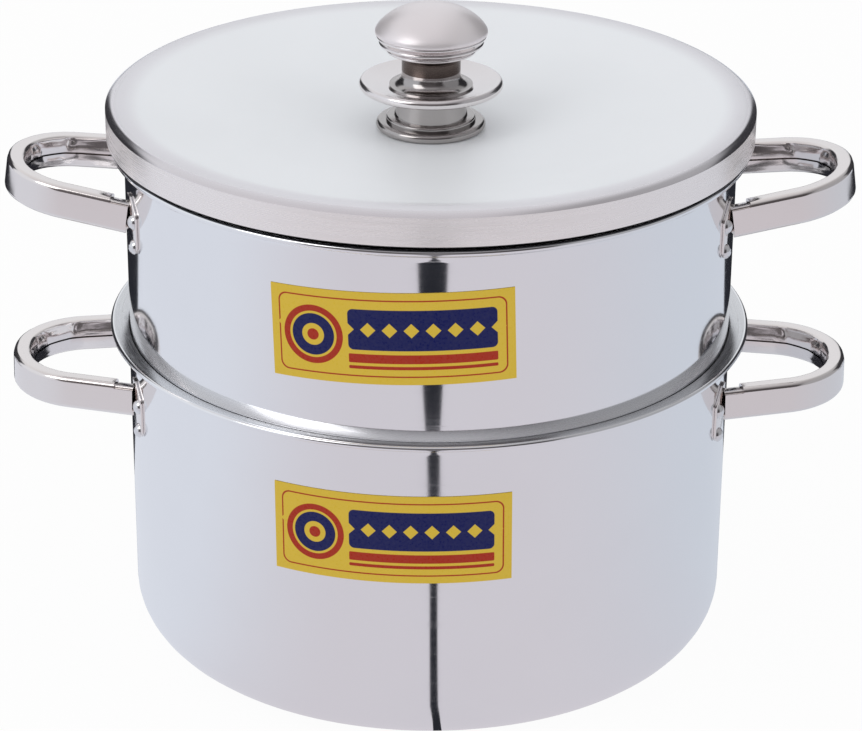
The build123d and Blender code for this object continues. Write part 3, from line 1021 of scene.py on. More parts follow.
@dataclass
class LowerPot:
    """Deep pot: rounded foot, straight polished wall and flared lip."""

    wall_radius: float = 130.0
    wall: float = 1.5
    corner: float = 21.0
    curl: float = 5.7
    bead: float = 2.4
    seat: float = 130.1

    def build(self, workshop: Workshop) -> Piece:
        """Turns the pot, gives it its finishes and hands it over."""
        box = node_box("lower_pot")
        lip = FlaredLip(self.wall_radius, self.wall, self.curl, bead=self.bead, seat=self.seat)
        lip.fit(box[1].x, box[1].z)
        corner = (self.wall_radius - self.corner, self.corner)
        profile = Profile(0.0, 0.0)
        profile.arc(corner, self.corner, -90, 0)
        lip.outside(profile)
        profile.arc(corner, self.corner - self.wall, 0, -90)
        profile.to(0.0, self.wall)
        piece = profile.turned("lower_pot_shell")
        dress_pot(piece, workshop, lip, self.wall_radius - self.wall)
        hand_over(piece, "pot", "polished_aluminium", "lower_pot")
        return piece


FACING_UP = 0.5
FLANGE_FACING_UP = 0.3


def dress_pot(
    piece: Piece, workshop: Workshop, lip: FlaredLip, inside_radius: float
) -> None:
    """Polishes a pot outside, brushes its flange and leaves its inside satin.

    Args:
        piece: the pot.
        workshop: where its finishes are made.
        lip: its lip, which tells where the flange is.
        inside_radius: radius of the wall's inner face.
    """
    finishes = (POLISHED_WALL, SATIN_INSIDE, BRUSHED_LIP)
    dress(piece, *(workshop.metal(finish) for finish in finishes))
    flange_end = lip.bead_at[0] - lip.bead / 2
    for polygon in piece.data.polygons:
        middle = polygon.center / MM
        normal = polygon.normal
        radius = math.hypot(middle.x, middle.y)
        inward = normal.x * middle.x + normal.y * middle.y < 0
        if radius < inside_radius + lip.wall / 4 and (inward or normal.z > FACING_UP):
            polygon.material_index = PotZone.INSIDE
        elif normal.z > FLANGE_FACING_UP and inside_radius < radius < flange_end:
            polygon.material_index = PotZone.FLANGE


@dataclass
class SteamerPot:
    """Upper pot: flared lip, straight wall, and a neck that drops into the lower pot."""

    wall_radius: float = 129.5
    wall: float = 1.2
    curl: float = 5.0
    rise: float = 28.0
    neck_radius: float = 128.0
    neck_depth: float = 16.0
    ledge: float = 7.0
    step_round: float = 0.5
    bead: float = 2.8
    lip_drop: float = 0.8

    def build(self, workshop: Workshop) -> Piece:
        """Turns the pot, gives it its finishes and hands it over."""
        box = node_box("steamer_pot")
        lip = FlaredLip(self.wall_radius, self.wall, self.curl, self.rise, self.bead)
        lip.fit(box[1].x, box[1].z - self.lip_drop)
        bottom = box[0].z
        floor = bottom + self.neck_depth
        ledge = self.neck_radius - self.ledge
        neck_inside = self.neck_radius - self.wall
        profile = Profile(ledge, bottom).through(
            (self.neck_radius - self.step_round, bottom),
            (self.neck_radius, bottom + self.step_round),
            (self.neck_radius, floor),
            (self.wall_radius - self.step_round, floor + self.step_round),
            (self.wall_radius, floor + self.wall),
        )
        lip.outside(profile).through(
            (self.wall_radius - self.wall, floor + 2 * self.wall),
            (neck_inside, floor + self.wall),
            (neck_inside, bottom + self.wall),
            (ledge, bottom + self.wall),
            (ledge, bottom),
        )
        piece = profile.turned("steamer_pot_shell")
        dress_pot(piece, workshop, lip, self.wall_radius - self.wall)
        hand_over(piece, "steamer", "polished_aluminium", "steamer_pot")
        return piece


# Lid and knob


class LidZone(IntEnum):
    """The finishes of the lid, in the order of its material slots."""

    TOP = 0
    SKIRT = 1
    INSIDE = 2
    ROUND = 3
    HEM = 4


@dataclass
class Lid:
    """Dished lid with a rounded rim, a brushed skirt and a centring ring underneath.

    The rim is a shoulder of large radius that falls a little, an edge round that ends at an
    angle, and an upright skirt whose edge stands clear of the steamer.
    """

    wall: float = 1.2
    edge_radius: float = 6.5
    edge_end: float = 45.0
    shoulder_radius: float = 24.0
    shoulder_fall: float = 9.0
    flat_radius: float = 25.0
    dish_depth: float = 14.1
    centring_depth: float = 3.0
    ring_radius: float = 127.3
    skirt_lift: float = 0.9
    skirt_edge: float = 0.4
    rest_radius: float = 131.5
    under_slope: float = -0.2
    skirt_slope: float = 0.12
    round_slope: float = 0.985

    def build(self, workshop: Workshop) -> Piece:
        """Turns the lid, gives it its finishes and hands it over."""
        low, high = node_box("lid")
        bottom = low.z + self.centring_depth
        centre_top = high.z - self.dish_depth
        fall = 90 - self.shoulder_fall
        inset = self.shoulder_radius - self.edge_radius
        edge_x = high.x - self.edge_radius * math.cos(math.radians(self.edge_end))
        shoulder_x = edge_x - inset * math.cos(math.radians(fall))
        shoulder = (shoulder_x, high.z - self.shoulder_radius)
        crest = (edge_x, shoulder[1] + inset * math.sin(math.radians(fall)))
        slope = 0.0
        for _ in range(SOLVER_ROUNDS):
            span = shoulder_x - self.shoulder_radius * math.sin(slope) - self.flat_radius
            rise = self.dish_depth - self.shoulder_radius * (1 - math.cos(slope))
            slope = 2 * math.atan(rise / span)
        dish = span / math.sin(slope)
        dish_centre = (self.flat_radius, centre_top + dish)
        slope = math.degrees(slope)
        profile = Profile(0.0, centre_top - self.wall)
        profile.arc(dish_centre, dish + self.wall, -90, -90 + slope)
        profile.arc(shoulder, self.shoulder_radius - self.wall, 90 + slope, fall)
        profile.arc(crest, self.edge_radius - self.wall, fall, self.edge_end)
        inside = high.x - self.wall
        ring_inside = self.ring_radius - self.wall
        hem = bottom + self.wall
        profile.through(
            (inside, profile.points[-1][1] - self.wall / 2),
            (inside, hem + self.skirt_lift),
            (self.rest_radius, hem),
            (ring_inside, hem),
            (ring_inside, low.z),
            (self.ring_radius, low.z),
            (self.ring_radius, bottom),
            (self.rest_radius, bottom),
        )
        edge = self.skirt_edge
        profile.arc((high.x - edge, bottom + self.skirt_lift + edge), edge, -90, 0)
        profile.arc(crest, self.edge_radius, self.edge_end, fall)
        profile.arc(shoulder, self.shoulder_radius, fall, 90 + slope)
        profile.arc(dish_centre, dish, -90 + slope, -90)
        profile.to(0.0, centre_top)
        piece = profile.turned("lid_shell")
        finishes = (LID_TOP, LID_SKIRT, SATIN_INSIDE, LID_ROUND, LID_HEM_SHADE)
        dress(piece, *(workshop.metal(finish) for finish in finishes))
        for polygon in piece.data.polygons:
            radius = math.hypot(polygon.center.x, polygon.center.y) / MM
            polygon.material_index = self.zone(radius, polygon.normal.z, edge_x)
        hand_over(piece, "lid", "lid_aluminium", "lid")
        return piece

    def zone(self, radius: float, facing_up: float, rim_start: float) -> LidZone:
        """Finds the finish of a face of the lid.

        Args:
            radius: its distance from the axis.
            facing_up: the Z of its normal.
            rim_start: the radius where the rim's round starts.

        Returns:
            The face's finish.
        """
        if facing_up < self.under_slope:
            # Faces under the rim, outside the centring ring, take the near-black painted shade of
            # the gap.
            return LidZone.HEM if radius > self.ring_radius else LidZone.INSIDE
        if radius > rim_start and facing_up < self.skirt_slope:
            return LidZone.SKIRT
        if radius > rim_start and facing_up < self.round_slope:
            return LidZone.ROUND
        return LidZone.TOP


@dataclass
class Knob:
    """Turned steel knob in seven pieces, stacked on the lid's centre."""

    bore: float = 2.7
    base_height: float = 3.8
    step_radius: float = 19.0
    stem_waist: float = 0.6
    guard_sheet: float = 1.4
    guard_rim: float = 4.0
    guard_slope: float = 16.0
    collar_radius: float = 17.6
    collar_foot: float = 1.0
    neck_radius: float = 12.4
    bowl_foot: float = 14.6
    bowl_step: float = 0.7
    cap_rim: float = 1.2
    cap_wall: float = 1.6
    bowl_rings: int = 3
    bowl_edge_start: float = -40.0
    cap_steps: int = 28
    cap_fullness: float = 0.4

    def close(self, profile: Profile, top: float, bottom: float) -> Profile:
        """Brings a section in along its top and down the screw's bore."""
        return profile.through((self.bore, top), (self.bore, bottom))

    def base(self) -> Profile:
        """Section of the stepped foot, rounded at its outer edge."""
        low, high = node_box("knob_base")
        edge = self.base_height / 2
        shoulder = (high.z - low.z - self.base_height) / 2
        profile = Profile(self.bore, low.z)
        profile.arc((high.x - edge, low.z + edge), edge, -90, 90)
        profile.to(self.step_radius, low.z + self.base_height)
        profile.arc((self.step_radius - shoulder, high.z - shoulder), shoulder, 0, 90)
        return self.close(profile, high.z, low.z)

    def stem(self) -> Profile:
        """Section of the waisted stem."""
        low, high = node_box("knob_stem")
        half = (high.z - low.z) / 2
        round_radius = (half**2 + self.stem_waist**2) / (2 * self.stem_waist)
        centre = (high.x - self.stem_waist + round_radius, low.z + half)
        reach = math.degrees(math.asin(half / round_radius))
        profile = Profile(self.bore, low.z)
        profile.arc(centre, round_radius, 180 + reach, 180 - reach)
        return self.close(profile, high.z, low.z)

    def guard(self) -> Profile:
        """Section of the wide guard disc, dished up to a rounded rim."""
        low, high = node_box("knob_guard_disc")
        rim = self.guard_rim / 2
        lean = math.degrees(math.asin(self.guard_sheet / 2 / rim))
        top = low.z + self.guard_sheet
        profile = Profile(self.bore, low.z).to(self.collar_radius, low.z)
        profile.arc((high.x - rim, high.z - rim), rim, -180 + lean, 90 + self.guard_slope)
        return self.close(profile.to(self.collar_radius, top), top, low.z)

    def collar(self) -> Profile:
        """Section of the flared ring that carries the neck."""
        low, high = node_box("knob_collar")
        flare = high.x - self.neck_radius
        profile = Profile(self.bore, low.z).to(high.x, low.z)
        profile.arc((high.x, low.z + self.collar_foot + flare), flare, -90, -180)
        return self.close(profile.to(self.neck_radius, high.z), high.z, low.z)

    def neck(self) -> Profile:
        """Section of the narrow neck, which widens under the bowl."""
        low, high = node_box("knob_neck")
        flare = high.x - self.neck_radius
        profile = Profile(self.bore, low.z).to(self.neck_radius, low.z)
        profile.arc((high.x, high.z - flare), flare, 180, 90)
        return self.close(profile, high.z, low.z)

    def bowl(self) -> Profile:
        """Section of the bowl, in rings of growing width with a soft edge each."""
        low, high = node_box("knob_bowl")
        step = self.bowl_step
        rise = (high.z - low.z) / self.bowl_rings
        spread = high.x - step / 2 - self.bowl_foot
        radii = [
            self.bowl_foot + spread * math.sin(math.pi / 2 * ring / self.bowl_rings)
            for ring in range(self.bowl_rings + 1)
        ]
        profile = Profile(self.bore, low.z)
        for ring in range(self.bowl_rings):
            foot = low.z + ring * rise
            profile.to(radii[ring], foot)
            edge = (radii[ring + 1] - step / 2, foot + rise - step)
            profile.arc(edge, step, self.bowl_edge_start, 90)
        return self.close(profile, high.z, low.z)

    def cap(self) -> Profile:
        """Section of the hollow dome on top."""
        low, high = node_box("knob_cap")
        rise = high.z - low.z - self.cap_rim
        dome = (high.x**2 + rise**2) / (2 * rise)
        centre = (0.0, high.z - dome)
        inner = dome - self.cap_wall
        inner_angle = math.degrees(math.asin((high.x - self.cap_wall) / inner))
        profile = Profile(0.0, high.z - self.cap_wall)
        profile.arc(centre, inner, 90, 90 - inner_angle)
        profile.to(high.x - self.cap_wall, low.z)
        lip = self.cap_rim / 2
        profile.arc((high.x - lip, low.z + lip), lip, -90, 0)
        lip_top = low.z + self.cap_rim
        for step in range(1, self.cap_steps + 1):
            turn = math.pi / 2 * step / self.cap_steps
            radius = high.x * math.cos(turn)
            ball = centre[1] + math.sqrt(dome**2 - radius**2) - lip_top
            full = rise * math.sin(turn)
            profile.to(radius, lip_top + ball + (full - ball) * self.cap_fullness)
        return profile

    def build(self, workshop: Workshop) -> None:
        """Turns the seven pieces and hands each of them over."""
        # Base, stem and collar take the darker copy of the knob steel, a painted shade of their
        # dark reflections.
        sections = {
            "knob_base": (self.base, KNOB_SHADED_FOOT),
            "knob_stem": (self.stem, KNOB_SHADED_FOOT),
            "knob_guard_disc": (self.guard, KNOB_STEEL),
            "knob_collar": (self.collar, KNOB_SHADED_FOOT),
            "knob_neck": (self.neck, KNOB_DARK),
            "knob_bowl": (self.bowl, KNOB_STEEL),
            "knob_cap": (self.cap, KNOB_CAP),
        }
        for node, (section, finish) in sections.items():
            piece = section().turned(node + "_turned", SMALL_TURNING_STEPS)
            dress(piece, workshop.metal(finish))
            slot = "knob_dark_steel" if finish is KNOB_DARK else "knob_steel"
            hand_over(piece, "lid", slot, node)


# Handles


@dataclass
class HandleSet:
    """The two handles of one pot, with their brackets and rivets.

    A crease is its place round the bend and its lean over the band's height, in degrees,
    and its share of the depth.
    """

    level: Level
    body: str
    wall_radius: float
    wall: float
    height: float
    tilt: float
    band_height: float = 14.4
    band_thickness: float = 7.6
    sheet: float = 1.2
    corner: float = 2.2
    seam: float = 0.8
    seam_bulge: float = 1.1
    notch: float = 6.5
    half_span: float = 36.0
    convergence: float = 12.5
    end_round_share: float = 0.945
    projection: float = 51.2
    bulge_shares: tuple[float, ...] = (0.0, 0.25, 0.5, 0.75)
    bend_steps: int = 36
    band_smooth_deg: float = 28.0
    creases: tuple[tuple[float, float, float], ...] = (
        (14.0, 16.0, 0.8),
        (37.0, -22.0, 1.0),
        (62.0, 14.0, 0.9),
    )
    crease_depth: float = 0.55
    crease_middle_share: float = 0.55
    crease_width: float = 4.5
    end_tolerance: float = 0.05
    end_facing: float = 0.9
    plate: float = 1.6
    plate_seen: float = 1.0
    plate_above: float = 1.5
    plate_width: float = 7.6
    plate_round: float = 3.0
    plate_edge: float = 0.35
    plate_edge_steps: int = 3
    plate_edge_deg: float = 50.0
    plate_columns: int = 10
    tongue_length: float = 16.0
    tongue_gap: float = 0.1
    rivet_radius: float = 1.6
    rivet_head: float = 3.2
    rivet_dome: float = 2.2
    rivet_low_head: float = 1.0
    rivet_spacing: float = 11.0
    rivet_drop: float = 1.0
    rivet_edge: float = 3.8
    rivet_margin: float = 4.0

    def leg_direction(self) -> Vector:
        """Direction of the front leg, away from the wall."""
        angle = math.radians(self.convergence)
        return Vector((math.cos(angle), math.sin(angle), 0.0))

    def leg_point(self, radius: float) -> Vector:
        """Point of the front leg's middle line at a distance from the pot's axis."""
        lean = math.tan(math.radians(self.convergence))
        x = radius
        for _ in range(SOLVER_ROUNDS):
            y = -(self.half_span + (self.wall_radius - x) * lean)
            x = math.sqrt(radius**2 - y**2)
        return Vector((x, y, 0.0))

    def section(self, thickness: float, height: float, corner: float, bulge: float) -> list[Point]:
        """Outline of the band from one side of the seam round to the other.

        Args:
            thickness: across the band.
            height: up the band.
            corner: corner radius.
            bulge: how far the inner side stands out at the seam.

        Returns:
            Points as distance across, positive outwards, and height.
        """
        half = thickness / 2
        high = height / 2
        seam = self.seam / 2
        seam_side = [
            (-half - bulge * (1 - share**2), seam + (high - corner - seam) * share)
            for share in self.bulge_shares
        ]
        points = list(seam_side)
        for across, up, start in ((-1, 1, 180), (1, 1, 90), (1, -1, 0), (-1, -1, -90)):
            for step in range(CORNER_STEPS + 1):
                angle = math.radians(start - 90 * step / CORNER_STEPS)
                x = across * (half - corner) + corner * math.cos(angle)
                points.append((x, up * (high - corner) + corner * math.sin(angle)))
        return points + [(across, -level) for across, level in reversed(seam_side)]

    def on_leg(self, origin: Vector, points: Sequence[Point]) -> list[Vector]:
        """Stands section points upright across the front leg."""
        direction = self.leg_direction()
        outward = Vector((direction.y, -direction.x, 0.0))
        return [origin + outward * across + Vector((0, 0, up)) for across, up in points]

    def tilted(self, piece: Piece) -> None:
        """Tips a piece up about the handle's root and lifts it to its height."""
        root = Vector((self.wall_radius, 0.0, 0.0)) * MM
        lift = Vector((0.0, 0.0, self.height)) * MM
        turn = Matrix.Rotation(math.radians(-self.tilt), 4, "Y")
        place = Matrix.Translation(root + lift) @ turn @ Matrix.Translation(-root)
        piece.matrix_world = place @ piece.matrix_world
        settle(piece)

    def band(self) -> Piece:
        """Bends the hollow band: section, front leg, two bends, rear leg and bare ends."""
        inset = self.band_thickness / 2
        start = self.leg_point(self.wall_radius + self.plate + self.notch)
        rings = []
        for name, skin in (("band", 0.0), ("band_lining", self.sheet)):
            section = self.section(
                self.band_thickness - 2 * skin,
                self.band_height - 2 * skin,
                self.corner - skin,
                self.seam_bulge,
            )
            rings.append(draw_chain(name, self.on_leg(start, section)))
            to_objects()
        piece = join(rings, "band")
        edit(piece, "EDGE")
        bpy.ops.mesh.bridge_edge_loops()
        bpy.ops.mesh.select_mode(type="FACE")
        select_everything()
        lean = math.radians(self.convergence)
        turn = math.pi / 2 - lean
        tip = self.wall_radius + self.projection - inset
        end_half = self.half_span - (self.projection - inset) * math.tan(lean)
        run = self.end_round_share * end_half
        end_radius = run / math.tan(turn / 2)
        leg = self.leg_direction()
        bend_start = Vector((tip, -end_half, 0.0)) - leg * run
        first_leg = bend_start - start
        centre = bend_start + Vector((-leg.y, leg.x, 0.0)) * end_radius
        far_centre = Vector((centre.x, -centre.y, 0.0))
        self.extrude(first_leg)
        self.bend(centre, turn)
        self.extrude(Vector((0.0, 2 * (end_half - run), 0.0)))
        self.bend(far_centre, turn)
        self.extrude(Vector((-leg.x, leg.y, 0.0)) * first_leg.length)
        to_objects()
        self.bare_ends(piece, start)
        close_up(piece)
        self.crease(piece, centre, end_radius)
        self.crease(piece, far_centre, end_radius)
        self.tilted(piece)
        smooth(piece, self.band_smooth_deg)
        piece.modifiers.new("flat_faces", "WEIGHTED_NORMAL").keep_sharp = True
        apply_modifiers(piece)
        return piece

    def crease(self, piece: Piece, centre: Vector, radius: float) -> None:
        """Presses the small folds that bending leaves in a bend's inner side.

        Args:
            piece: the band, before it is tilted.
            centre: the bend's centre.
            radius: the bend's radius at the band's middle line.
        """
        skin = radius - self.band_thickness / 2 + self.sheet / 2
        side = math.copysign(1.0, centre.y)
        for vertex in piece.data.vertices:
            arm = Vector((vertex.co.x / MM - centre.x, vertex.co.y / MM - centre.y))
            if arm.length > skin or arm.y * side < 0 or arm.x < 0:
                continue
            angle = math.degrees(math.atan2(arm.y * side, arm.x))
            level = vertex.co.z / MM / self.band_height
            press = sum(
                share * math.exp(-(((angle - place - lean * level) / self.crease_width) ** 2))
                for place, lean, share in self.creases
            )
            press *= self.crease_depth * (self.crease_middle_share + level)
            arm *= press / arm.length
            vertex.co.x += arm.x * MM
            vertex.co.y += arm.y * MM

    def extrude(self, move: Vector) -> None:
        """Pulls the selected faces out by a move in millimetres."""
        bpy.ops.mesh.extrude_region_move(TRANSFORM_OT_translate={"value": move * MM})

    def bend(self, centre: Vector, angle: float) -> None:
        """Carries the selected faces round an upright axis at a centre in millimetres."""
        bpy.ops.mesh.spin(
            steps=self.bend_steps, angle=-angle, center=centre * MM, axis=(0.0, 0.0, 1.0)
        )

    def bare_ends(self, piece: Piece, start: Vector) -> None:
        """Runs the outer face alone on to the brackets, past the notches.

        Args:
            piece: the bent band, before it is tilted.
            start: the front leg's end at the notch.
        """
        reach = (start - self.leg_point(self.wall_radius + self.plate / 2)).length
        leg = self.leg_direction()
        flat = self.band_height / 2 - self.corner
        outside = self.band_thickness / 2
        for side in (-1, 1):
            ahead = Vector((-leg.x, side * leg.y, 0.0))
            outward = Vector((leg.y, side * leg.x, 0.0))
            end = Vector((start.x, side * abs(start.y), 0.0))
            chosen = []
            for polygon in piece.data.polygons:
                arm = polygon.center / MM - end
                offset = arm.dot(outward)
                facing = abs(polygon.normal.dot(ahead)) > self.end_facing
                on_face = abs(arm.z) < flat and offset > outside - self.sheet
                below = arm.z < -flat and offset > outside - self.corner
                if abs(arm.dot(ahead)) < self.end_tolerance and facing and (on_face or below):
                    chosen.append(polygon.index)
            select_faces(piece, chosen)
            self.extrude(ahead * reach)
            to_objects()

    def bracket_plate(self) -> Piece:
        """Outlined plate, thickened, with softened edges, and wrapped round the wall."""
        band_side = self.half_span + self.band_thickness / 2
        inner = band_side - self.band_thickness
        outer = band_side + self.plate_width
        top = self.band_height / 2 + self.plate_above
        lower_rivet = -self.rivet_drop - self.rivet_spacing
        corners = [
            (inner, top),
            (band_side, top),
            (outer, self.rivet_margin - self.rivet_drop),
            (outer, lower_rivet),
            (band_side + self.rivet_edge, lower_rivet - self.rivet_margin),
            (inner, -self.band_height / 2),
        ]
        outline = round_corners(corners, self.plate_round)
        piece = draw_face("plate", [Vector((0.0, -y, z)) for y, z in outline])
        for column in range(1, self.plate_columns):
            cut = -(inner + (outer - inner) * column / self.plate_columns) * MM
            select_everything()
            bpy.ops.mesh.bisect(plane_co=(0.0, cut, 0.0), plane_no=(0.0, 1.0, 0.0))
        to_objects()
        thicken = piece.modifiers.new("thicken", "SOLIDIFY")
        thicken.thickness = self.plate_seen * MM
        thicken.offset = 0.0
        soften = piece.modifiers.new("soften", "BEVEL")
        soften.width = self.plate_edge * MM
        soften.segments = self.plate_edge_steps
        soften.limit_method = "ANGLE"
        soften.angle_limit = math.radians(self.plate_edge_deg)
        apply_modifiers(piece)
        close_up(piece)
        for vertex in piece.data.vertices:
            depth = self.wall_radius + self.plate_seen / 2 + vertex.co.x / MM
            across = vertex.co.y / MM
            vertex.co.x = math.sqrt(depth**2 - across**2) * MM
            vertex.co.z += self.height * MM
        return piece

    def tongue(self) -> Piece:
        """Flat tongue of the bracket that fills the band's hollow end."""
        gap = self.sheet + self.tongue_gap
        half = (self.band_thickness / 2 - gap, self.band_height / 2 - gap)
        corners = [(-half[0], -half[1]), (half[0], -half[1]), half, (-half[0], half[1])]
        outline = round_corners(corners, self.corner - self.sheet)
        start = self.leg_point(self.wall_radius + self.plate / 2)
        piece = draw_face("tongue", self.on_leg(start, outline))
        bpy.ops.mesh.select_mode(type="FACE")
        select_everything()
        self.extrude(self.leg_direction() * self.tongue_length)
        to_objects()
        close_up(piece)
        self.tilted(piece)
        return piece

    def rivet(self) -> Piece:
        """One rivet along Z: a low head, a shank and a domed head."""
        outside = self.wall_radius + self.plate_seen
        inside = math.sqrt((self.wall_radius - self.wall) ** 2 - self.rivet_head**2)
        dome = (self.rivet_head**2 + self.rivet_dome**2) / (2 * self.rivet_dome)
        reach = math.degrees(math.asin(self.rivet_head / dome))
        profile = Profile(0.0, inside - self.rivet_low_head).through(
            (self.rivet_head, inside - self.rivet_low_head),
            (self.rivet_head, inside),
            (self.rivet_radius, inside),
            (self.rivet_radius, outside),
            (self.rivet_head, outside),
        )
        profile.arc((0.0, outside + self.rivet_dome - dome), dome, 90 - reach, 90)
        return profile.turned("rivet", RIVET_STEPS)

    def rivets(self, name: str) -> Piece:
        """Sets the four rivets of the right-hand handle into its two brackets."""
        across = self.half_span + self.band_thickness / 2 + self.rivet_edge
        azimuth = math.asin(across / self.wall_radius)
        lie = Matrix.Rotation(math.pi / 2, 4, "Y")
        model = self.rivet()
        placed = []
        for end in End:
            turn = Matrix.Rotation(end.value * azimuth, 4, "Z")
            for drop in (0.0, self.rivet_spacing):
                lift = Vector((0.0, 0.0, self.height - self.rivet_drop - drop)) * MM
                move = Matrix.Translation(lift) @ turn @ lie
                placed.append(copy_moved(model, "rivet_copy", move))
        bpy.data.objects.remove(model)
        return join(placed, name)

    def build(self, workshop: Workshop) -> None:
        """Makes both handles of the pot and hands their pieces over."""
        level = self.level.value
        steel = workshop.metal(SATIN_HANDLE)
        rivet_metal = workshop.metal(RIVET_METAL)
        band = self.band()
        front = join([self.bracket_plate(), self.tongue()], "bracket")
        smooth(front)
        rear = copy_mirrored(front, "bracket_rear")
        rivets = self.rivets("rivets")
        for model in (band, front, rear):
            dress(model, steel)
        dress(rivets, rivet_metal)
        for side in Side:
            word = side.name.lower()
            copy = copy_turned(band, f"{level}_{word}_handle_band", side.value)
            hand_over(copy, self.body, "handle_steel", f"{level}_{word}_handle")
            for end, model in ((End.FRONT, front), (End.REAR, rear)):
                facing = end.name.lower()
                if side is Side.LEFT:
                    facing = "rear" if end is End.FRONT else "front"
                node = f"{level}_{word}_{facing}_bracket"
                copy = copy_turned(model, node + "_plate", side.value)
                hand_over(copy, self.body, "handle_steel", node)
            copy = copy_turned(rivets, f"{level}_{word}_rivet_set", side.value)
            hand_over(copy, self.body, "rivet_aluminium", f"{level}_{word}_rivets")
        for model in (band, front, rear, rivets):
            bpy.data.objects.remove(model)


def round_corners(corners: Sequence[Point], radius: float) -> list[Point]:
    """Rounds the corners of a polygon.

    Args:
        corners: the polygon's points in order.
        radius: the rounding's radius.

    Returns:
        The outline's points.
    """
    points: list[Point] = []
    count = len(corners)
    for index, here in enumerate(corners):
        corner = Vector(here)
        back = (Vector(corners[index - 1]) - corner).normalized()
        ahead = (Vector(corners[(index + 1) % count]) - corner).normalized()
        half = back.angle(ahead) / 2
        centre = corner + (back + ahead).normalized() * radius / math.sin(half)
        first = corner + back * radius / math.tan(half) - centre
        last = corner + ahead * radius / math.tan(half) - centre
        turn = first.angle_signed(last)
        for step in range(CORNER_STEPS + 1):
            arm = first.copy()
            arm.rotate(Matrix.Rotation(-turn * step / CORNER_STEPS, 2))
            points.append(tuple(centre + arm))
    return points


# Labels


@dataclass
class Label:
    """Printed label, bent round the front of a pot and stuck on a little askew."""

    node: str
    body: str
    wall_radius: float
    centre_height: float
    turn: float
    width: float = 98.5
    height: float = 39.0
    thickness: float = 0.12
    offset: float = 15.0
    gap: float = 0.1
    columns: int = 72
    rows: int = 20

    def build(self, workshop: Workshop) -> Piece:
        """Cuts the sheet, bends it round the wall, prints it and hands it over."""
        deselect_all()
        bpy.ops.mesh.primitive_grid_add(
            x_subdivisions=self.columns, y_subdivisions=self.rows, size=1.0
        )
        piece = bpy.context.active_object
        piece.name = self.node + "_sheet"
        piece.scale = (self.width * MM, self.height * MM, 1.0)
        settle(piece)
        piece.rotation_euler.z = math.radians(self.turn)
        settle(piece)
        thicken = piece.modifiers.new("thicken", "SOLIDIFY")
        thicken.thickness = self.thickness * MM
        thicken.offset = 1.0
        apply_modifiers(piece)
        middle = -math.pi / 2 - self.offset / self.wall_radius
        for vertex in piece.data.vertices:
            azimuth = middle + vertex.co.x / MM / self.wall_radius
            radius = (self.wall_radius + self.gap) * MM + vertex.co.z
            height = self.centre_height * MM + vertex.co.y
            vertex.co = (radius * math.cos(azimuth), radius * math.sin(azimuth), height)
        close_up(piece)
        smooth(piece)
        finish = PrintedLabelFinish(workshop, self.width, self.height)
        dress(piece, finish.material(self.node + "_print"))
        hand_over(piece, self.body, "label_print", self.node)
        return piece


# Studio


